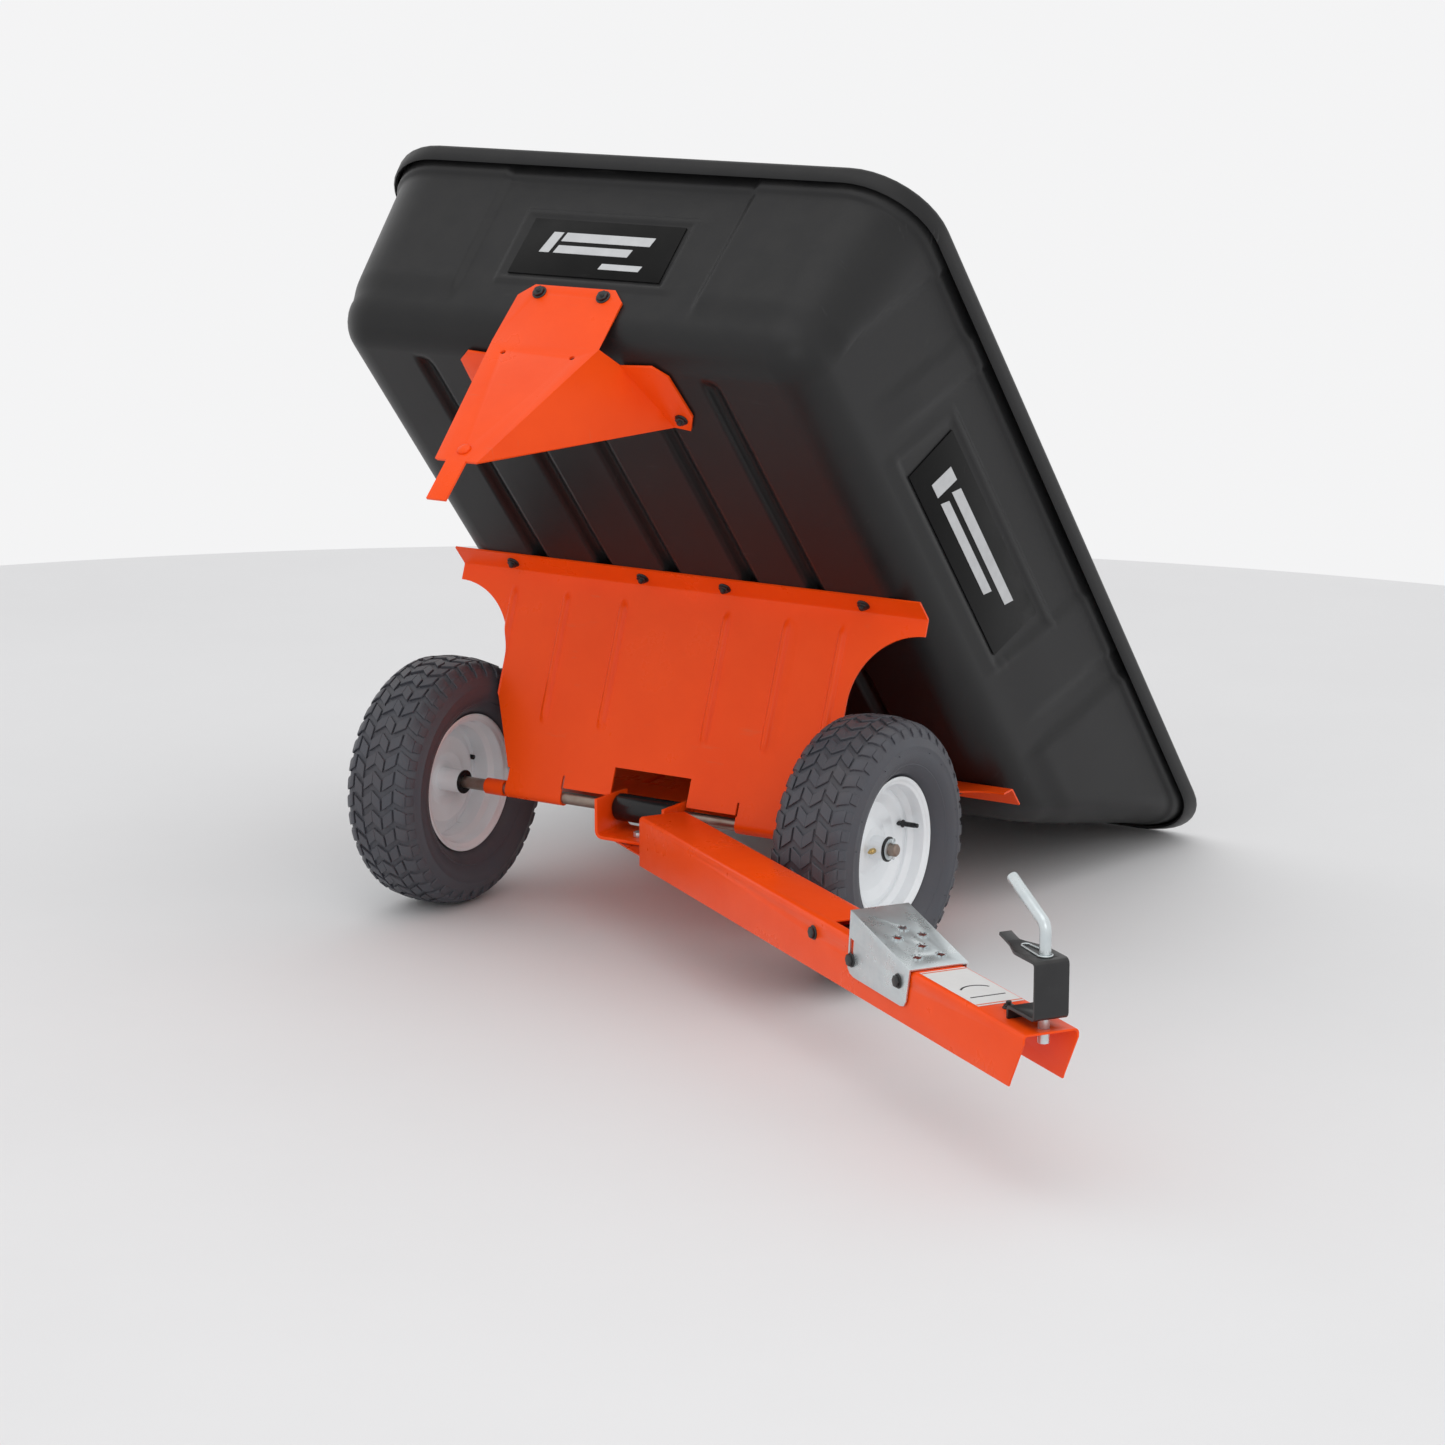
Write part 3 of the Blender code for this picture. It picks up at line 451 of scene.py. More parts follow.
# %% Lines of the tub's net
FLOOR_HEIGHT = 0.308
TUB_DEPTH = 0.351
TUB_WALL = 0.005
FLOOR_FRONT, FLOOR_REAR = -0.762, 0.357
TOP_FRONT, TOP_REAR = -0.781, 0.8155
FLOOR_HALF, TOP_HALF = 0.425, 0.478
FLOOR_CORNER, TOP_CORNER = 0.075, 0.105
FILLET = 0.055
CROWD = [0.0025 * step for step in range(6)]      # net lines close to a corner, which open into its arc
FLAT_HALF = FLOOR_HALF - FILLET
FLAT_FRONT, FLAT_REAR = FLOOR_FRONT + FILLET, FLOOR_REAR - FILLET


def net_lines(low, high, creases, pitch):
    """Positions from low to high: the corner crowds, each crease with close lines, and an even fill."""
    lines = {round(low + gap, 5) for gap in CROWD} | {round(high - gap, 5) for gap in CROWD}
    wanted = [crease + offset for crease in creases for offset in (-0.009, -0.006, -0.003, 0, 0.003, 0.006, 0.009)]
    count = int((high - low) / pitch)
    wanted += [low + (high - low) * step / count for step in range(1, count)]
    for line in wanted:
        clear = min(abs(line - other) for other in lines) > 0.0026
        if low + CROWD[-1] + 0.003 < line < high - CROWD[-1] - 0.003 and clear:
            lines.add(round(line, 5))
    return sorted(lines)


GROOVES = (-0.270, -0.145, -0.015, 0.130, 0.250)
GROOVE_EDGES = [groove + side for groove in GROOVES for side in (-0.012, 0.013)]
PANEL_HALF = 0.2165
BADGE_HALF, BADGE_LOW, BADGE_HIGH = 0.143, 0.114, 0.234
SIDE_BADGE = (-0.425, 0.062)
SIDE_BADGE_LOW, SIDE_BADGE_HIGH = 0.088, 0.219
CREASES_X = [*GROOVE_EDGES, -PANEL_HALF, PANEL_HALF, -BADGE_HALF, BADGE_HALF]
NET_X = net_lines(-FLAT_HALF, FLAT_HALF, CREASES_X, 0.012)
NET_U = net_lines(FLAT_FRONT, FLAT_REAR, [], 0.008)
print("net", len(NET_X), "by", len(NET_U))

# %% [markdown]
# Every ring of the wall is a rounded rectangle. A net line keeps its share of the straight side as the
# walls flare, and the crowded lines fan out round the corner arc.


# %% Place of a net line on a ring
def ring_sizes(level):
    """Half width, front, rear, corner radius and height of one ring."""
    kind, value = level
    if kind == "fillet":
        inset = FILLET * (1 - math.sin(value))
        height = FILLET * (1 - math.cos(value))
        flare, out = height, -inset
        radius = FLOOR_CORNER * math.sin(value)
    else:
        height, out = value
        flare = height
        radius = FLOOR_CORNER + (TOP_CORNER - FLOOR_CORNER) * height / TUB_DEPTH + max(out, 0)
    share = flare / TUB_DEPTH
    half = FLOOR_HALF + (TOP_HALF - FLOOR_HALF) * share + out
    front = FLOOR_FRONT + (TOP_FRONT - FLOOR_FRONT) * share - out
    rear = FLOOR_REAR + (TOP_REAR - FLOOR_REAR) * share + out
    return half, front, rear, radius, height


def crowd_angle(gap):
    return 45.0 * (1 - gap / CROWD[-1])


def on_ring(x, u, level):
    """Where a rim point of the floor's grid goes on a ring, and the outward way there."""
    half, front, rear, radius, height = ring_sizes(level)
    side_x, side_u = FLAT_HALF - abs(x), min(u - FLAT_FRONT, FLAT_REAR - u)
    sign_x = 1 if x > 0 else -1
    sign_u = -1 if u - FLAT_FRONT < FLAT_REAR - u else 1
    if side_u < 0.0001:
        if side_x < CROWD[-1] - 0.0001:
            turn = math.radians(90 - crowd_angle(side_x))
        else:
            turn = math.pi / 2
        straight = x / (FLAT_HALF - CROWD[-1]) * (half - radius)
        centre_u = rear - radius if sign_u > 0 else front + radius
        centre_x = straight if turn == math.pi / 2 else sign_x * (half - radius)
    else:
        if side_u < CROWD[-1] - 0.0001:
            turn = math.radians(crowd_angle(side_u))
        else:
            turn = 0.0
        centre_x = sign_x * (half - radius)
        if turn:
            centre_u = rear - radius if sign_u > 0 else front + radius
        else:
            share = (u - FLAT_FRONT - CROWD[-1]) / (FLAT_REAR - FLAT_FRONT - 2 * CROWD[-1])
            centre_u = front + radius + share * (rear - front - 2 * radius)
    way = Vector((sign_x * math.cos(turn), sign_u * math.sin(turn), 0))
    return Vector((centre_x, centre_u, FLOOR_HEIGHT + height)) + way * radius, way


# %% [markdown]
# The moulded details are small moves in and out of the plain shell: a soft step is a smooth ramp a few
# millimetres wide. The front wall has a panel between two upright creases and a pocket for a badge, and each
# side wall has stepped panels near both ends and a pocket along its middle.


# %% Moulded details
def step_up(value, edge, width=0.007):
    """0 before an edge and 1 after it, with a smooth ramp between."""
    share = min(max((value - edge) / width + 0.5, 0.0), 1.0)
    return share * share * (3 - 2 * share)


def pocket(value, low, high, width=0.006):
    return step_up(value, low, width) * (1 - step_up(value, high, width))


def ring_frame(value, height, low, high, base, top, wide=0.012):
    """1 on a raised frame round a pocket."""
    outer = pocket(value, low - wide, high + wide) * pocket(height, base - wide, top + wide)
    return outer - pocket(value, low, high) * pocket(height, base, top)


def wall_detail(spot, x, height, way):
    """How far the wall moves out at a rim point, at a height above the floor."""
    rise = step_up(height, 0.080, 0.05)
    move_out = 0.005 * step_up(height, 0.301, 0.008) + 0.006 * rise
    if abs(way.y) > 0.999:
        move_out -= 0.006 * pocket(x, -PANEL_HALF, PANEL_HALF, 0.014) * rise
        if way.y < 0:
            move_out += 0.0025 * ring_frame(x, height, -BADGE_HALF, BADGE_HALF, BADGE_LOW, BADGE_HIGH)
    if abs(way.x) > 0.999:
        # the side creases lean back towards the rim
        lean = spot.y + 0.36 * (0.33 - height)
        fade = step_up(height, 0.13, 0.12)
        move_out -= 0.006 * pocket(lean, -0.616, 0.347, 0.016) * rise
        move_out += 0.0045 * fade * (pocket(lean, -0.479, -0.409, 0.014) + pocket(lean, 0.133, 0.284, 0.014))
        low, high = SIDE_BADGE
        move_out += 0.0025 * ring_frame(spot.y - 0.35 * (height - 0.15), height, low, high, SIDE_BADGE_LOW,
                                        SIDE_BADGE_HIGH, 0.014)
    return move_out


def floor_detail(x, u):
    """How far the floor rises into the tub at its long grooves."""
    depth = 0.0
    for groove in GROOVES:
        steep = step_up(x, groove - 0.012, 0.009)
        gentle = 1 - step_up(x, groove + 0.008, 0.024)
        depth += 0.015 * steep * gentle
    return depth * pocket(u, FLAT_FRONT + 0.022, FLAT_REAR - 0.03, 0.04)


# %% Grow the tub
def grow_tub():
    let_go()
    bpy.ops.mesh.primitive_grid_add(x_subdivisions=len(NET_X) - 1, y_subdivisions=len(NET_U) - 1, size=1)
    tub = bpy.context.object
    tub.name = "tub_shell"
    assert len(tub.data.vertices) == len(NET_X) * len(NET_U)
    rim = {}
    for vertex in tub.data.vertices:
        column = round((vertex.co.x + 0.5) * (len(NET_X) - 1))
        row = round((vertex.co.y + 0.5) * (len(NET_U) - 1))
        x, u = NET_X[column], NET_U[row]
        vertex.co = (x, u, FLOOR_HEIGHT + floor_detail(x, u))
        if column in (0, len(NET_X) - 1) or row in (0, len(NET_U) - 1):
            rim[vertex.index] = (x, u)
    levels = [("fillet", math.radians(turn)) for turn in (10, 20, 30, 40, 50, 60, 70, 80, 90)]
    heights = [0.066, 0.078, 0.086, 0.091, 0.096, 0.100, 0.106, 0.109, 0.112, 0.115, 0.118, 0.13, 0.15, 0.17, 0.19,
               0.205, 0.2165, 0.2195, 0.2225, 0.230, 0.233, 0.236, 0.239, 0.242, 0.246, 0.25, 0.27, 0.29, 0.297, 0.3,
               0.3025, 0.305, 0.312, 0.324, 0.334]
    levels += [("wall", (height, 0.0)) for height in heights]
    top, bend, reach, drop = TUB_DEPTH - TUB_WALL - 0.0016, 0.006, 0.017, 0.025
    for turn in (22.5, 45, 67.5, 90):
        swing = math.radians(turn)
        levels.append(("lip", (top - bend * (1 - math.sin(swing)), 0.005 + bend * (1 - math.cos(swing)))))
    for turn in (90, 67.5, 45, 22.5, 0):
        swing = math.radians(turn)
        levels.append(("lip", (top - bend * (1 - math.sin(swing)), reach - bend + bend * math.cos(swing))))
    levels += [("lip", (top - drop * share, reach)) for share in (0.5, 0.93)]
    levels.append(("lip", (top - drop, reach - 0.0015)))
    uses = {}
    for face in tub.data.polygons:
        for key in face.edge_keys:
            uses[key] = uses.get(key, 0) + 1
    mark(tub, "EDGE", lambda spot, way: False)
    bpy.ops.object.mode_set(mode="OBJECT")
    for edge in tub.data.edges:
        edge.select = uses[edge.key] == 1
    for vertex in tub.data.vertices:
        vertex.select = vertex.index in rim
    here = {tuple(round(value, 5) for value in tub.data.vertices[index].co): spot for index, spot in rim.items()}
    for level in levels:
        bpy.ops.object.mode_set(mode="EDIT")
        bpy.ops.mesh.select_mode(type="EDGE")
        bpy.ops.mesh.extrude_region_move(TRANSFORM_OT_translate={"value": (0, 0, 0)})
        bpy.ops.object.mode_set(mode="OBJECT")
        after = {}
        for vertex in tub.data.vertices:
            if vertex.select:
                x, u = here[tuple(round(value, 5) for value in vertex.co)]
                spot, way = on_ring(x, u, level)
                if level[0] == "wall":
                    spot += way * wall_detail(spot, x, level[1][0], way)
                vertex.co = spot
                after[tuple(round(value, 5) for value in vertex.co)] = (x, u)
        here = after
    heal(tub)
    thicken(tub, 0.0046, 1.0)
    return tub


tub = grow_tub()
move(tub, BED)
deliver(tub, "bed", "poly", "black_poly", "tub", angle=50)

# %% [markdown]
# ## Badges
# The wall pockets carry thin black plates. Their marks here are plain bars, pressed from silver foil: a
# neutral pattern that only keeps the balance of light and dark. The frame's own plates give the outline, so
# each bar is placed by the wall's rake.

# %% Badge bars
WALL_RAKE = math.atan2(TOP_FRONT - FLOOR_FRONT, TUB_DEPTH)
SIDE_LEAN = math.atan2(TOP_HALF - FLOOR_HALF, TUB_DEPTH)
FRONT_WALL = Matrix.Translation((0, FLOOR_FRONT, FLOOR_HEIGHT)) @ Matrix.Rotation(math.pi / 2 - WALL_RAKE, 4, "X")


def bar_shape(name, left, right, low, high, slant, lift):
    points = [(left, low), (right, low), (right + slant, high), (left + slant, high)]
    return slab(name, points, lift, lift + 0.0006)


def badge_plate(name, corners, wall, node, bars):
    plate = slab(name, corners, 0.0006, 0.0022)
    soften(plate, 0.0005)
    deliver(move(plate, BED @ wall), "bed", "plate", "black_nylon", node)
    pieces = [bar_shape(f"{name}_bar_{number}", *bar, 0.0022) for number, bar in enumerate(bars)]
    marks = join(name + "_marks", *pieces)
    deliver(move(marks, BED @ wall), "bed", "foil", "black_nylon")


front_corners = [(-0.137, 0.120), (0.137, 0.120), (0.137, 0.228), (-0.137, 0.228)]
front_bars = [(-0.100, -0.082, 0.163, 0.203, 0.010), (-0.070, 0.090, 0.186, 0.203, 0.004)]
front_bars += [(-0.074, 0.060, 0.163, 0.178, 0.004), (0.020, 0.092, 0.137, 0.148, 0.003)]
badge_plate("front_badge", front_corners, FRONT_WALL, "badge_front", front_bars)
side_up = [(-0.405, 0.095), (0.022, 0.095), (0.052, 0.212), (-0.385, 0.212)]
for side, sign in (("left", 1), ("right", -1)):
    turn = Matrix.Rotation(sign * math.pi / 2, 4, "Z") @ Matrix.Rotation(math.pi / 2 + SIDE_LEAN, 4, "X")
    side_wall = Matrix.Translation((sign * FLOOR_HALF, 0, FLOOR_HEIGHT)) @ turn
    corners = [(sign * along, up) for along, up in side_up]
    side_bars = []
    for left, right, low, high in ((-0.350, -0.320, 0.128, 0.178), (-0.300, -0.030, 0.158, 0.178),
                                   (-0.306, -0.090, 0.128, 0.146)):
        ends = sorted((sign * left, sign * right))
        side_bars.append((*ends, low, high, sign * 0.012))
    badge_plate(f"{side}_badge", corners, side_wall, f"badge_{side}", side_bars)

# %% [markdown]
# ## Axle supports
# Two plates of bent 3 mm steel make a V under the tub. Each has a flange that bolts to the floor, a leg with
# pressed stiffening ribs, an arch cut out beside each wheel, and knuckles rolled round the axle. The sheet
# is a grid bent along its profile, the ribs are pushed out of it, and the arches are cut through last.

# %% Support plates
SHEET = 0.003
SUPPORT_HALF, SUPPORT_WAIST = 0.437, 0.322
KNUCKLE = 0.0098 + 0.0003 + SHEET / 2
RIBS = (-0.328, -0.2245, -0.114, 0.081, 0.192, 0.293)
RIB_HALF = 0.0075


def rib_height(x, down, top, bottom):
    """How far a rib stands out of the leg at a distance down from its fold."""
    height = 0.0
    for rib in RIBS:
        off = abs(x - rib) / RIB_HALF
        if off < 1:
            height = 0.0058 * (0.5 + 0.5 * math.cos(math.pi * off)) ** 0.7
    return height * pocket(down, top, bottom, 0.016)


def support_sheet(name, flange, knuckles, facing, rib_rows):
    under = FLOOR_HEIGHT - 0.0003 - SHEET / 2
    free, fold = flange
    away = math.atan2(under, fold)
    lean = math.acos(KNUCKLE / math.hypot(under, fold))
    touch = math.degrees(away - facing * lean)
    knuckle = arc((0, 0), KNUCKLE, touch, touch - facing * 235, 20)
    run = Vector(knuckle[0]) - Vector((fold, under))
    length = run.length
    way = run.normalized()
    flange_way = math.copysign(1, free - fold)
    turn_angle = (Vector((flange_way, 0)) + way).normalized()
    half_turn = Vector((flange_way, 0)).angle(way) / 2
    radius = 0.006
    centre = Vector((fold, under)) + turn_angle * radius / math.sin(half_turn)
    start = Vector((fold + flange_way * radius / math.tan(half_turn), under))
    first = start - centre
    sweep = (math.pi - 2 * half_turn) * (1 if Vector((flange_way, 0)).cross(way) < 0 else -1)
    rows = [(Vector((free + (start.x - free) * step / 4, under)), None) for step in range(4)]
    rows += [(centre + Matrix.Rotation(sweep * step / 6, 2) @ first, None) for step in range(7)]
    reach = radius / math.tan(half_turn)
    for step in range(1, 64):
        down = reach + (length - reach) * step / 64
        rows.append((Vector((fold, under)) + way * down, down))
    rows += [(Vector(point), None) for point in knuckle]
    columns = sorted({round(rib + offset * RIB_HALF / 4, 5) for rib in RIBS for offset in range(-5, 6)}
                     | {round(-SUPPORT_HALF + 2 * SUPPORT_HALF * step / 48, 5) for step in range(49)})
    columns = [x for index, x in enumerate(columns) if index == 0 or x - columns[index - 1] > 0.0011]
    let_go()
    bpy.ops.mesh.primitive_grid_add(x_subdivisions=len(columns) - 1, y_subdivisions=len(rows) - 1, size=1)
    sheet = bpy.context.object
    sheet.name = name
    out = Vector((way.y, -way.x)) * (1 if facing < 0 else -1)
    if out.x * facing < 0:
        out = -out
    for vertex in sheet.data.vertices:
        x = columns[round((vertex.co.x + 0.5) * (len(columns) - 1))]
        spot, down = rows[round((vertex.co.y + 0.5) * (len(rows) - 1))]
        if down is not None:
            spot = spot + out * rib_height(x, down, *rib_rows)
        vertex.co = (x, spot.x, spot.y)
    heal(sheet)
    thicken(sheet, SHEET)
    slope = math.atan2(run.y, run.x)
    leg = Matrix.Translation((0, fold, under)) @ Matrix.Rotation(slope, 4, "X")
    inner, outer = knuckles
    arch_top = 0.0273
    arch = SUPPORT_HALF + 0.0015 - SUPPORT_WAIST
    tools = []
    for side in (-1, 1):
        outline = arc((SUPPORT_WAIST + arch, arch_top + arch), arch, -90, -180, 24)
        outline += [(SUPPORT_WAIST, 0.205), (outer, length - 0.030), (outer, length + 0.03)]
        outline += [(SUPPORT_HALF + 0.03, length + 0.03), (SUPPORT_HALF + 0.03, arch_top)]
        tools.append(move(slab("arch", [(side * a, b) for a, b in outline], -0.03, 0.03), leg))
        for edge in (inner, outer):
            slot = [(edge - 0.002, length - 0.034), (edge + 0.002, length - 0.034)]
            slot += [(edge + 0.002, length - 0.012), (edge - 0.002, length - 0.012)]
            tools.append(move(slab("relief", [(side * a, b) for a, b in slot], -0.03, 0.03), leg))
    foot = [(-inner, length - 0.014), (inner, length - 0.014), (inner, length + 0.03), (-inner, length + 0.03)]
    tools.append(move(slab("foot", foot, -0.031, 0.031), leg))
    window = [(-0.072, length - 0.060), (0.072, length - 0.060), (0.072, length), (-0.072, length)]
    tools.append(move(slab("window", window, -0.032, 0.032), leg))
    carve(sheet, *tools)
    return move(sheet, BED)


front_plate = support_sheet("front_plate", (-0.223, -0.182), (0.165, 0.2735), -1, (0.034, 0.235))
deliver(front_plate, "bed", "orange", "orange_paint", "front_support", angle=40)
rear_plate = support_sheet("rear_plate", (0.290, 0.250), (0.280, 0.316), 1, (0.034, 0.235))
deliver(rear_plate, "bed", "orange", "orange_paint", "rear_support", angle=40)

# %% [markdown]
# ## Nose bracket
# The nose is one folded plate. Its flat faces are right in the frame already, so a copy of it is merged
# back into clean faces, and its edges are rounded, as a bend and a powder coat leave them.


# %% Soft-edged copies of frame pieces
def softened(name, node, width, segments=3, flat=2.0):
    """A copy of a frame piece with clean faces and rounded edges."""
    take(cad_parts[node])
    bpy.ops.object.duplicate()
    piece = bpy.context.object
    piece.name = name
    heal(piece, 0.00002)
    bpy.ops.object.mode_set(mode="EDIT")
    bpy.ops.mesh.select_all(action="SELECT")
    bpy.ops.mesh.dissolve_limited(angle_limit=math.radians(flat))
    bpy.ops.object.mode_set(mode="OBJECT")
    soften(piece, width, segments, 20)
    return piece


nose = softened("nose_plate", "nose_bracket", 0.0012)
deliver(nose, "bed", "orange", "orange_paint", "nose_bracket", angle=30)

# %% [markdown]
# ## Bolts
# Every bolt is black or zinc plated, with a flanged hex nut on one side and a round or hex head on the other.
# One recipe makes them all: a turned flange and washer, a six-sided nut with its corners chamfered, and the
# thread's end standing out of it.


# %% Bolt recipe
def hex_nut(name, across, low, high):
    let_go()
    middle_height = (low + high) / 2
    bpy.ops.mesh.primitive_cylinder_add(vertices=6, radius=across, depth=high - low, location=(0, 0, middle_height))
    nut = bpy.context.object
    bpy.ops.object.transform_apply(location=True, rotation=True, scale=True)
    nut.name = name
    soften(nut, 0.0008, 2)
    return nut


def bolt(name, half_grip, shank, head, head_high, ends, body, look, slot, place, node):
    """A bolt along its own Z: ends says what is at the bottom and at the top."""
    shank_line = [(0, half_grip), (shank, half_grip), (shank, -half_grip), (0, -half_grip)]
    pieces = [turned(name + "_shank", shank_line, 16)]
    for sign, end in zip((-1, 1), ends):
        flip = Matrix.Identity(4) if sign > 0 else Matrix.Rotation(math.pi, 4, "X")
        low, high = half_grip, half_grip + head_high
        if end == "dome":
            profile = [(0, high - 0.0012)]
            for turn in (15, 30, 45, 60, 75, 90):
                swing = math.radians(turn)
                profile.append((head * math.sin(swing), low + 0.0008 + (high - low - 0.002) * math.cos(swing)))
            profile += [(head, low), (0, low)]
            pieces.append(move(turned(name + "_dome", profile, 24), flip))
            continue
        washer = [(0, low + 0.0022), (head * 0.86, low + 0.0022), (head, low + 0.0010), (head, low), (0, low)]
        pieces.append(move(turned(name + "_washer", washer, 28), flip))
        pieces.append(move(hex_nut(name + "_nut", head * 0.84, low + 0.0018, high - 0.0010), flip))
        if end == "nut":
            thread = [(0, high + 0.0035), (shank * 0.8, high + 0.0035)]
            for turn in range(4):
                thread += [(shank, high + 0.0028 - 0.0012 * turn), (shank * 0.84, high + 0.0022 - 0.0012 * turn)]
            thread += [(shank * 0.84, low), (0, low)]
            pieces.append(move(turned(name + "_thread", thread, 20), flip))
    piece = join(name, *pieces)
    return deliver(move(piece, place), body, look, slot, node)


# %% Bolts of the bed
# each size is half the grip, the shank's radius, the head's radius and the head's height
SUPPORT_BOLT = (0.0044, 0.004, 0.0105, 0.0068)
WING_BOLT = (0.0058, 0.004, 0.0105, 0.0068)
NOSE_BOLT = (0.0053, 0.004, 0.0115, 0.0068)
STRIKER = (0.0024, 0.005, 0.0105, 0.0062)
BLACK_BED = ("bed", "black", "black_steel")
LEANING = Matrix.Rotation(-TILT, 4, "X")


def upright(node):
    return Matrix.Translation(middle(node)) @ Matrix.Rotation(-TILT, 4, "X")


for leg in ("front", "rear"):
    for number in (1, 2, 3, 4):
        node = f"{leg}_support_bolt_{number}"
        bolt(node + "_set", *SUPPORT_BOLT, ("nut", "dome"), *BLACK_BED, upright(node), node)
for side in ("left", "right"):
    node = "wing_bolt_" + side
    bolt(node + "_set", *WING_BOLT, ("nut", "dome"), *BLACK_BED, upright(node), node)
    node = "nose_bolt_" + side
    outward = Matrix.Translation(middle(node)) @ LEANING @ Matrix.Rotation(math.pi / 2 - WALL_RAKE, 4, "X")
    bolt(node + "_set", *NOSE_BOLT, ("dome", "nut"), *BLACK_BED, outward, node)
FOOT_LEAN = math.atan2(0.805 - 0.7663, 0.308 - 0.014 - 0.030)
foot_turn = Matrix.Rotation(math.pi / 2 - TILT - FOOT_LEAN, 4, "X")
striker_place = Matrix.Translation(middle("striker_bolt")) @ foot_turn
bolt("striker_set", *STRIKER, ("hex", "dome"), "bed", "orange", "orange_paint", striker_place, "striker_bolt")

# %% [markdown]
# ## Wheels
# A wheel is a pneumatic lawn tyre on a pressed rim, with a dished disc welded in, and plastic flange bearings
# in its hub tube. The tyre's carcass sits below the crown of the tread, so the tread can be real: blocks that
# interlock like chevrons, pushed out of the carcass and copied round it.

# %% Tyre section
CROWN = [(0.203, 0.0), (0.203, 0.016), (0.1978, 0.047), (0.190, 0.0575), (0.1805, 0.0637)]
TREAD_DEPTH = 0.0042
PITCHES = 40


def crown_at(width):
    """The tyre's radius at a distance from its middle line."""
    width = abs(width)
    for (radius, start), (next_radius, end) in zip(CROWN, CROWN[1:]):
        if width <= end:
            share = (width - start) / (end - start)
            return radius + (next_radius - radius) * share
    return CROWN[-1][0]


def carcass(name):
    outer = [(0.1055, 0.0375), (0.110, 0.0390), (0.113, 0.0397), (0.1165, 0.0440), (0.121, 0.0505), (0.126, 0.0570)]
    outer += [(0.132, 0.0608), (0.1335, 0.0622), (0.1350, 0.0620), (0.1365, 0.0632), (0.145, 0.0668), (0.153, 0.0680)]
    outer += [(0.160, 0.0678), (0.1615, 0.0685), (0.1635, 0.0682), (0.1650, 0.0670), (0.172, 0.0650), (0.1765, 0.0628)]
    outer += [(radius - TREAD_DEPTH, width - 0.0008) for radius, width in reversed(CROWN[1:])]
    inner = [(0.194, 0.028), (0.165, 0.0590), (0.131, 0.0515), (0.1055, 0.0300)]
    half = outer + [(0.203 - TREAD_DEPTH, 0.0)]
    ring = half + [(radius, -width) for radius, width in reversed(outer)]
    ring += [(radius, -width) for radius, width in reversed(inner)] + inner
    return turned(name, ring, 96)


# %% Tread blocks
def tread_strip(centre, half_length, start, end, lean, steps):
    """Corners of one block: across the tread from start to end, slanting round it by lean."""
    points = []
    for step in range(steps + 1):
        width = start + (end - start) * step / steps
        turn = centre + lean * step / steps
        points.append((width, turn - half_length))
        points.append((width, turn + half_length))
    return points


def tread_block(name, points):
    let_go()
    rows = len(points) // 2
    bpy.ops.mesh.primitive_grid_add(x_subdivisions=rows - 1, y_subdivisions=1, size=1)
    block = bpy.context.object
    block.name = name
    ordered = sorted(block.data.vertices, key=lambda vertex: (round(vertex.co.x, 4), vertex.co.y))
    for vertex, (width, turn) in zip(ordered, points):
        radius = crown_at(width)
        vertex.co = (radius * math.cos(turn), radius * math.sin(turn), width)
    heal(block)
    bpy.ops.object.mode_set(mode="EDIT")
    bpy.ops.mesh.select_all(action="SELECT")
    bpy.ops.mesh.extrude_region_move()
    shrink = (crown_at(0) - 2 * TREAD_DEPTH) / crown_at(0)
    bpy.ops.transform.resize(value=(shrink, shrink, 1), center_override=(0, 0, 0))
    bpy.ops.object.mode_set(mode="OBJECT")
    heal(block)
    soften(block, 0.0007, 1, 50)
    return block


def tread(name):
    pitch = 2 * math.pi / PITCHES
    strips = [tread_strip(0.0, pitch * 0.31, -0.0165, 0.0, pitch * 0.42, 3)]
    strips += [tread_strip(pitch * 0.42, pitch * 0.31, 0.0, 0.0165, -pitch * 0.42, 3)]
    blocks = []
    for side in (-1, 1):
        shift = 0.5 * pitch if side > 0 else 0.0
        strips_side = [tread_strip(pitch * 0.10 + shift, pitch * 0.33, side * 0.0200, side * 0.0370, pitch * 0.40, 3)]
        strips_side += [tread_strip(pitch * 0.62 + shift, pitch * 0.34, side * 0.0405, side * 0.0570, -pitch * 0.30, 3)]
        strips_side += [tread_strip(pitch * 0.32 + shift, pitch * 0.28, side * 0.0575, side * 0.0636, 0.0, 1)]
        strips += strips_side
    for number, strip in enumerate(strips):
        blocks.append(tread_block(f"{name}_{number}", strip))
    pattern = join(name, *blocks)
    bpy.ops.object.mode_set(mode="EDIT")
    bpy.ops.mesh.select_all(action="SELECT")
    bpy.ops.mesh.spin(steps=PITCHES, dupli=True, angle=2 * math.pi, center=(0, 0, 0), axis=(0, 0, 1))
    bpy.ops.object.mode_set(mode="OBJECT")
    heal(pattern, 0.000001)
    return pattern


def mould_pips(name):
    """Short vent spews left by the mould on the sidewall."""
    pips = []
    for number in range(14):
        turn = 2 * math.pi * (number + 0.35 * (number % 2)) / 14
        pip = turned(f"{name}_{number}", [(0, 0.0024), (0.0007, 0.0022), (0.0009, 0.0), (0, 0.0)], 8)
        spot = Matrix.Rotation(turn, 4, "Z") @ Matrix.Translation((0.156, 0, 0.0672))
        pips.append(move(pip, spot))
    return join(name, *pips)


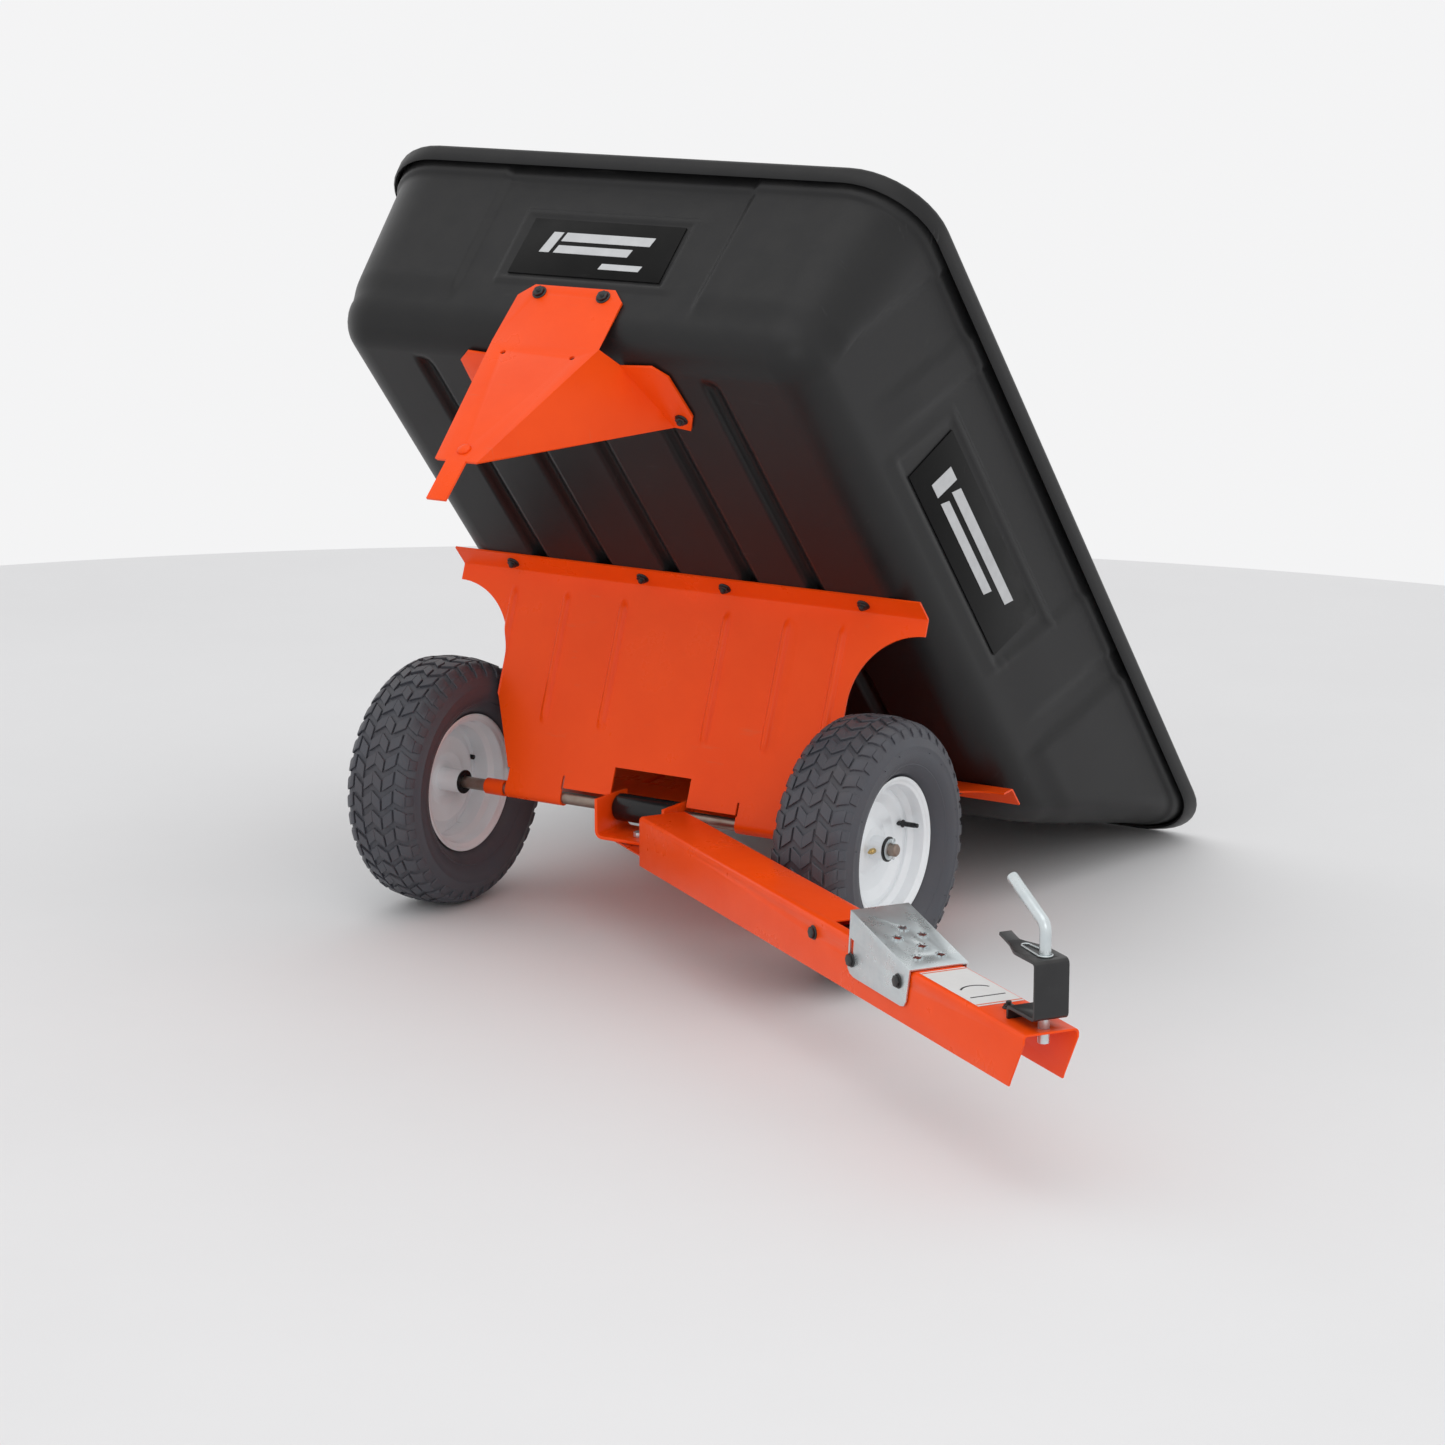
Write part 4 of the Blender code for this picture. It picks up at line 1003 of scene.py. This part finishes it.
# %% Wheel parts
RIM_LINE = [(0.1135, 0.0456), (0.1115, 0.0466), (0.108, 0.0452), (0.1035, 0.0410), (0.1022, 0.0330)]
RIM_LINE += [(0.1015, 0.024), (0.094, 0.017)]
DISC_LINE = [(0.0925, 0.013), (0.0925, 0.010), (0.084, 0.010), (0.070, 0.001), (0.044, 0.001), (0.030, 0.007)]
DISC_LINE += [(0.0185, 0.007), (0.0185, -0.034), (0.0158, -0.034), (0.0158, 0.034), (0.0185, 0.034), (0.0185, 0.0105)]
DISC_LINE += [(0.031, 0.0105), (0.045, 0.004), (0.069, 0.004), (0.083, 0.013)]
BEARING_LINE = [(0.0155, 0.0343), (0.0155, 0.018), (0.0101, 0.018), (0.0101, 0.037), (0.0195, 0.037), (0.0195, 0.0343)]
WASHER_LINE = [(0.0101, 0.0375), (0.0101, 0.0395), (0.0165, 0.0395), (0.0165, 0.0375)]
STEM_LINE = [(0, 0.038), (0.0030, 0.038), (0.0035, 0.0372), (0.0035, 0.034), (0.004, 0.032), (0.004, 0.0145)]
STEM_LINE += [(0.0062, 0.0125), (0.0062, 0.0105), (0.004, 0.0105), (0.004, -0.006), (0, -0.006)]
NIPPLE_LINE = [(0, 0.034), (0.002, 0.034), (0.003, 0.031), (0.002, 0.028), (0.0045, 0.026), (0.0045, 0.019)]
NIPPLE_LINE += [(0.003, 0.0188), (0.003, 0.0163), (0, 0.0163)]


def rim(name):
    """The rolled rim: its outer line bent as sheet, turned, and thickened inward."""
    inward = 0.0025
    outside = list(RIM_LINE)
    profile = outside + [(radius, -width) for radius, width in reversed(outside)]
    inside = [(radius - inward, min(width, 0.0444)) for radius, width in outside]
    inside[0], inside[1] = (0.1130, 0.0443), (0.1105, 0.0440)
    inside[2] = (0.1062, 0.0431)
    profile += [(radius, -width) for radius, width in inside] + list(reversed(inside))
    return turned(name, profile, 96, 0.0006)


def wheel(side):
    place = HUB[side]
    body = "wheel_" + side
    tyre = join(side + "_tyre", carcass(side + "_carcass"), tread(side + "_tread"))
    deliver(move(tyre, place), body, "rubber", "tyre_rubber", "tyre_" + side, angle=38)
    pips = mould_pips(side + "_pips")
    deliver(move(pips, place), body, "rubber", "tyre_rubber")
    deliver(move(rim(side + "_rim"), place), body, "silver", "wheel_silver", "rim_" + side, angle=45)
    disc = turned(side + "_disc", DISC_LINE, 96, 0.0007)
    deliver(move(disc, place), body, "silver", "wheel_silver", "wheel_disc_" + side, angle=40)
    return place, body


print("wheel recipes ready")


# %% Both wheels
def spread(name, piece_line, node, body, place, look, slot, steps=48, rounding=0.0003):
    piece = turned(name, piece_line, steps, rounding)
    return deliver(move(piece, place), body, look, slot, node)


def line_middle(line):
    heights = [height for _, height in line]
    return (min(heights) + max(heights)) / 2


for side in ("left", "right"):
    place, body = wheel(side)
    for end, flip in (("outer", Matrix.Identity(4)), ("inner", Matrix.Rotation(math.pi, 4, "X"))):
        node = f"bearing_{side}_{end}"
        spread(f"{side}_{end}_flange", BEARING_LINE, node, body, place @ flip, "nylon", "black_nylon", 56)
    spread(side + "_washer", WASHER_LINE, "axle_washer_" + side, "axle", place, "zinc", "zinc_plate")
    facing = HUB[side].to_3x3().to_4x4()
    stem = Matrix.Translation(middle("valve_stem_" + side)) @ facing
    stem = stem @ Matrix.Translation((0, 0, -line_middle(STEM_LINE)))
    spread(side + "_stem", STEM_LINE, "valve_stem_" + side, body, stem, "nylon", "tyre_rubber", 24)
    across = Matrix.Translation(middle("grease_nipple_" + side)) @ Matrix.Rotation(math.pi / 2, 4, "X")
    nipple = across @ Matrix.Translation((0, 0, -line_middle(NIPPLE_LINE)))
    spread(side + "_nipple", NIPPLE_LINE, "grease_nipple_" + side, body, nipple, "brass", "brass", 24, 0.0002)

# %% [markdown]
# ## Axle, bush and cotters
# A plain ground bar with chamfered ends runs through everything, held by a cotter with a ring at each end. A
# black nylon bush carries the tow bar's swivel bracket on it.

# %% Axle parts
axle_half, axle_radius = 0.451, 0.0098
axle_line = [(0, axle_half), (axle_radius - 0.002, axle_half), (axle_radius, axle_half - 0.002)]
axle_line += [(radius, -height) for radius, height in reversed(axle_line)]
axle_bar = turned("axle_bar", axle_line, 48)
deliver(move(axle_bar, Matrix.Translation(AXLE) @ ALONG_X), "axle", "steel", "bare_steel", "axle")
bush_line = [(0.0101, 0.0605), (0.0175, 0.0605), (0.0200, 0.0597), (0.0214, 0.0580), (0.0220, 0.0555)]
bush_line += [(radius, -height) for radius, height in reversed(bush_line)]
bush = turned("swivel_bush", bush_line, 64)
bush_place = Matrix.Translation(middle("axle_bush")) @ ALONG_X
deliver(move(bush, bush_place), "bracket", "nylon", "black_nylon", "axle_bush")
for side in ("left", "right"):
    spot = middle("cotter_" + side)
    shank_line = [(0, 0.0100), (0.0019, 0.0100), (0.0019, -0.0142), (0.0012, -0.0150), (0, -0.0150)]
    shank = turned(side + "_cotter_shank", shank_line, 16)
    ring = arc((0, 0.0136), 0.0041, 0, 360, 28)[:-1]
    loop = rod(side + "_cotter_ring", [(0, a, b) for a, b in ring], 0.0012, closed=True)
    cotter = join(side + "_cotter_set", shank, loop)
    deliver(move(cotter, Matrix.Translation((spot.x, AXLE.y, AXLE.z))), "axle", "zinc", "zinc_plate", "cotter_" + side)

# %% [markdown]
# ## Tow bar
# The tongue is a folded channel, open below, that turns on a kingpin under the swivel bracket. A shorter
# channel stiffens its pivot end. Foot pedal, hitch and pin are at the other end.

# %% Channels
swivel = softened("swivel_plate", "swivel_bracket", 0.0009)
deliver(swivel, "bracket", "orange", "orange_paint", "swivel_bracket", angle=30)
pivot = softened("pivot_plate", "pivot_channel", 0.0008)
deliver(pivot, "tongue", "orange", "orange_paint", "pivot_channel", angle=30)
bar = softened("bar_plate", "tongue_channel", 0.0008)
deliver(bar, "tongue", "orange", "orange_paint", "tongue_channel", angle=30)

# %% Bolts of the tow bar
for node, grip in (("tongue_bolt", 0.041), ("pedal_bolt", 0.045), ("stop_bolt", 0.0453)):
    across = Matrix.Translation(middle(node)) @ Matrix.Rotation(SWIVEL, 4, "Z") @ ALONG_X
    bolt(node + "_set", grip, 0.005, 0.0105, 0.0070, ("hex", "hex"), "tongue", "black", "black_steel", across, node)

# %% Kingpin
low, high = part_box("kingpin")
top, foot = high[2] - 0.002, low[2] + 0.002
kingpin_shank = turned("kingpin_shank", [(0, top), (0.006, top), (0.006, foot), (0, foot)], 24)
head_top = hex_nut("kingpin_top", 0.0105, high[2] - 0.008, high[2])
head_low = hex_nut("kingpin_low", 0.0105, low[2], low[2] + 0.008)
kingpin = join("kingpin_set", kingpin_shank, head_top, head_low)
at_kingpin = Matrix.Translation((KINGPIN.x, KINGPIN.y, 0))
deliver(move(kingpin, at_kingpin), "tongue", "zinc", "zinc_plate", "kingpin")
low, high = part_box("kingpin_washer")
washer_line = [(0.0063, low[2]), (0.0063, high[2]), (0.018, high[2]), (0.018, low[2])]
washer = turned("kingpin_ring", washer_line, 40, 0.0003)
deliver(move(washer, at_kingpin), "tongue", "zinc", "zinc_plate", "kingpin_washer")

# %% [markdown]
# ## Foot pedal
# A zinc-plated channel straddles the bar. Its top has diamond-shaped grip holes, with small raised teeth set
# in a ring at each one. Below the top, its side plates carry the pivot bolt and the arc slot of the stop bolt.

# %% Pedal
pedal = softened("pedal_plate", "foot_pedal", 0.0006)
deliver(pedal, "pedal", "zinc", "zinc_plate", "foot_pedal", angle=30)

# %% Tread teeth
PEDAL_TOP = [(-0.834, 0.042), (-1.011, 0.0035)]
pedal_slope = math.atan2(PEDAL_TOP[0][1] - PEDAL_TOP[1][1], PEDAL_TOP[0][0] - PEDAL_TOP[1][0])
PEDAL_PLACE = BAR @ Matrix.Translation((0, *PEDAL_TOP[1])) @ Matrix.Rotation(pedal_slope, 4, "X")
TREAD_HOLES = [(-0.018, 0.030), (0.018, 0.030), (0.004, 0.058), (-0.018, 0.088), (0.020, 0.088), (0.002, 0.112)]
teeth = []
for number, (across, back) in enumerate(TREAD_HOLES):
    for tooth in range(8):
        turn = 2 * math.pi * tooth / 8
        corners = [(0.0078, -0.0021), (0.0078, 0.0021), (0.0060, 0.0)]
        tip = slab(f"tooth_{number}_{tooth}", corners, -0.0006, 0.0016)
        teeth.append(move(tip, Matrix.Translation((across, back, 0)) @ Matrix.Rotation(turn, 4, "Z")))
tooth_set = join("tread_teeth", *teeth)
deliver(move(tooth_set, PEDAL_PLACE), "pedal", "zinc", "zinc_plate")

# %% [markdown]
# ## Hitch, pin and label
# The hitch bracket is bent from thick black strip, and the zinc pin drops through it with a spring clip
# behind it. The bar's printed label is white film; its marks are plain lines and an arc.

# %% Hitch and pin
hitch = softened("hitch_plate", "hitch_bracket", 0.0009)
deliver(hitch, "tongue", "black", "black_steel", "hitch_bracket", angle=30)
PIN_ROUTE = [(0, -1.298, -0.0205), (0, -1.298, 0.120), (0, -1.298, 0.128), (0, -1.2972, 0.1325), (0, -1.2945, 0.137)]
PIN_ROUTE += [(0, -1.2908, 0.1402), (0, -1.286, 0.1425), (0, -1.208, 0.178)]
pin = rod("drop_pin", PIN_ROUTE, 0.0078)
soften(pin, 0.0016, 2, 60)
deliver(move(pin, BAR), "pin", "zinc", "zinc_plate", "hitch_pin")
clip_loop = arc((0, -1.298), 0.0095, 180, 360, 16) + arc((0, -1.248), 0.006, 0, 180, 10)
clip = rod("spring_clip", [(x, y, 0.0967) for x, y in clip_loop], 0.0012, closed=True)
deliver(move(clip, BAR), "pin", "zinc", "zinc_plate", "pin_clip")
bolt("hitch_bolt_set", 0.0015, 0.004, 0.0085, 0.006, ("dome", "nut"), "tongue", "black", "black_steel",
     Matrix.Translation(middle("hitch_bolt")), "hitch_bolt")

# %% Label
film = slab("label_film", [(-0.034, -1.185), (0.034, -1.185), (0.034, -1.020), (-0.034, -1.020)], 0.0003, 0.0009)
deliver(move(film, BAR), "tongue", "film", "printed_label", "bar_label")
lines = [(-0.034, -1.181, 0.034, -1.178), (-0.034, -1.027, 0.034, -1.024)]
strips = []
for number, (left, low, right, high) in enumerate(lines):
    corners = [(left, low), (right, low), (right, high), (left, high)]
    strips.append(slab(f"line_{number}", corners, 0.0009, 0.0011))
ink = join("label_ink", *strips)
deliver(move(ink, BAR), "tongue", "ink", "printed_label")
sweep_outer = arc((0, -1.125), 0.026, 30, 150, 16)
sweep = slab("label_sweep", sweep_outer + list(reversed(arc((0, -1.125), 0.023, 30, 150, 16))), 0.0009, 0.0011)
rule = slab("label_rule", [(-0.026, -1.150), (0.026, -1.150), (0.026, -1.147), (-0.026, -1.147)], 0.0009, 0.0011)
deliver(move(join("label_marks", sweep, rule), BAR), "tongue", "black", "printed_label")

# %% [markdown]
# ## Floor, light and camera
# The cart stands on a plain pale disc under an even studio sky, with one broad soft light overhead and a
# weaker one at the front left. The disc ends behind the cart, which gives the soft horizon. The camera
# looks down a little from the tow bar's side.

# %% Floor
let_go()
bpy.ops.mesh.primitive_circle_add(vertices=256, radius=4.0, fill_type="NGON", location=(-0.15, -0.71, -0.0005))
floor = bpy.context.object
floor.name = "studio_floor"
floor.data.materials.append(finish("studio_paper", (0.80, 0.80, 0.805), (0.775, 0.775, 0.78), (0.75, 0.85),
                                   grain=(60.0, 0.02), patch=0.8, dust=0.0, specular=0.1))

# %% Light
world = bpy.data.worlds.new("studio")
bpy.context.scene.world = world
world.use_nodes = True
sky = world.node_tree.nodes["Background"]
sky.inputs["Color"].default_value = (0.905, 0.905, 0.91, 1)
sky.inputs["Strength"].default_value = 1.0
bpy.context.scene.view_settings.view_transform = "Standard"
LIGHTS = (
    ("overhead", (0.4, -1.2, 3.6), (0, -0.2, 0.3), 2.6, 14.0),
    ("front_left", (2.6, -3.0, 2.2), (-0.2, -0.2, 0.4), 1.6, 10.0),
)
for name, spot, aim, size, power in LIGHTS:
    bpy.ops.object.light_add(type="AREA", location=spot)
    light = bpy.context.object
    light.name = name
    light.rotation_euler = (Vector(aim) - Vector(spot)).to_track_quat("-Z", "Y").to_euler()
    light.data.size = size
    light.data.energy = power

# %% Camera
CAMERA_SPOT = AXLE + Vector((3.2822, -4.9714, 1.5287))
CAMERA_AIM = AXLE + Vector((0.1093, 0.0413, 0.1499))
bpy.ops.object.camera_add(location=CAMERA_SPOT)
camera = bpy.context.object
camera.rotation_euler = (CAMERA_AIM - CAMERA_SPOT).to_track_quat("-Z", "Y").to_euler()
camera.data.lens = 96.7
camera.data.sensor_width = 36.0
camera.data.dof.use_dof = False
bpy.context.scene.camera = camera
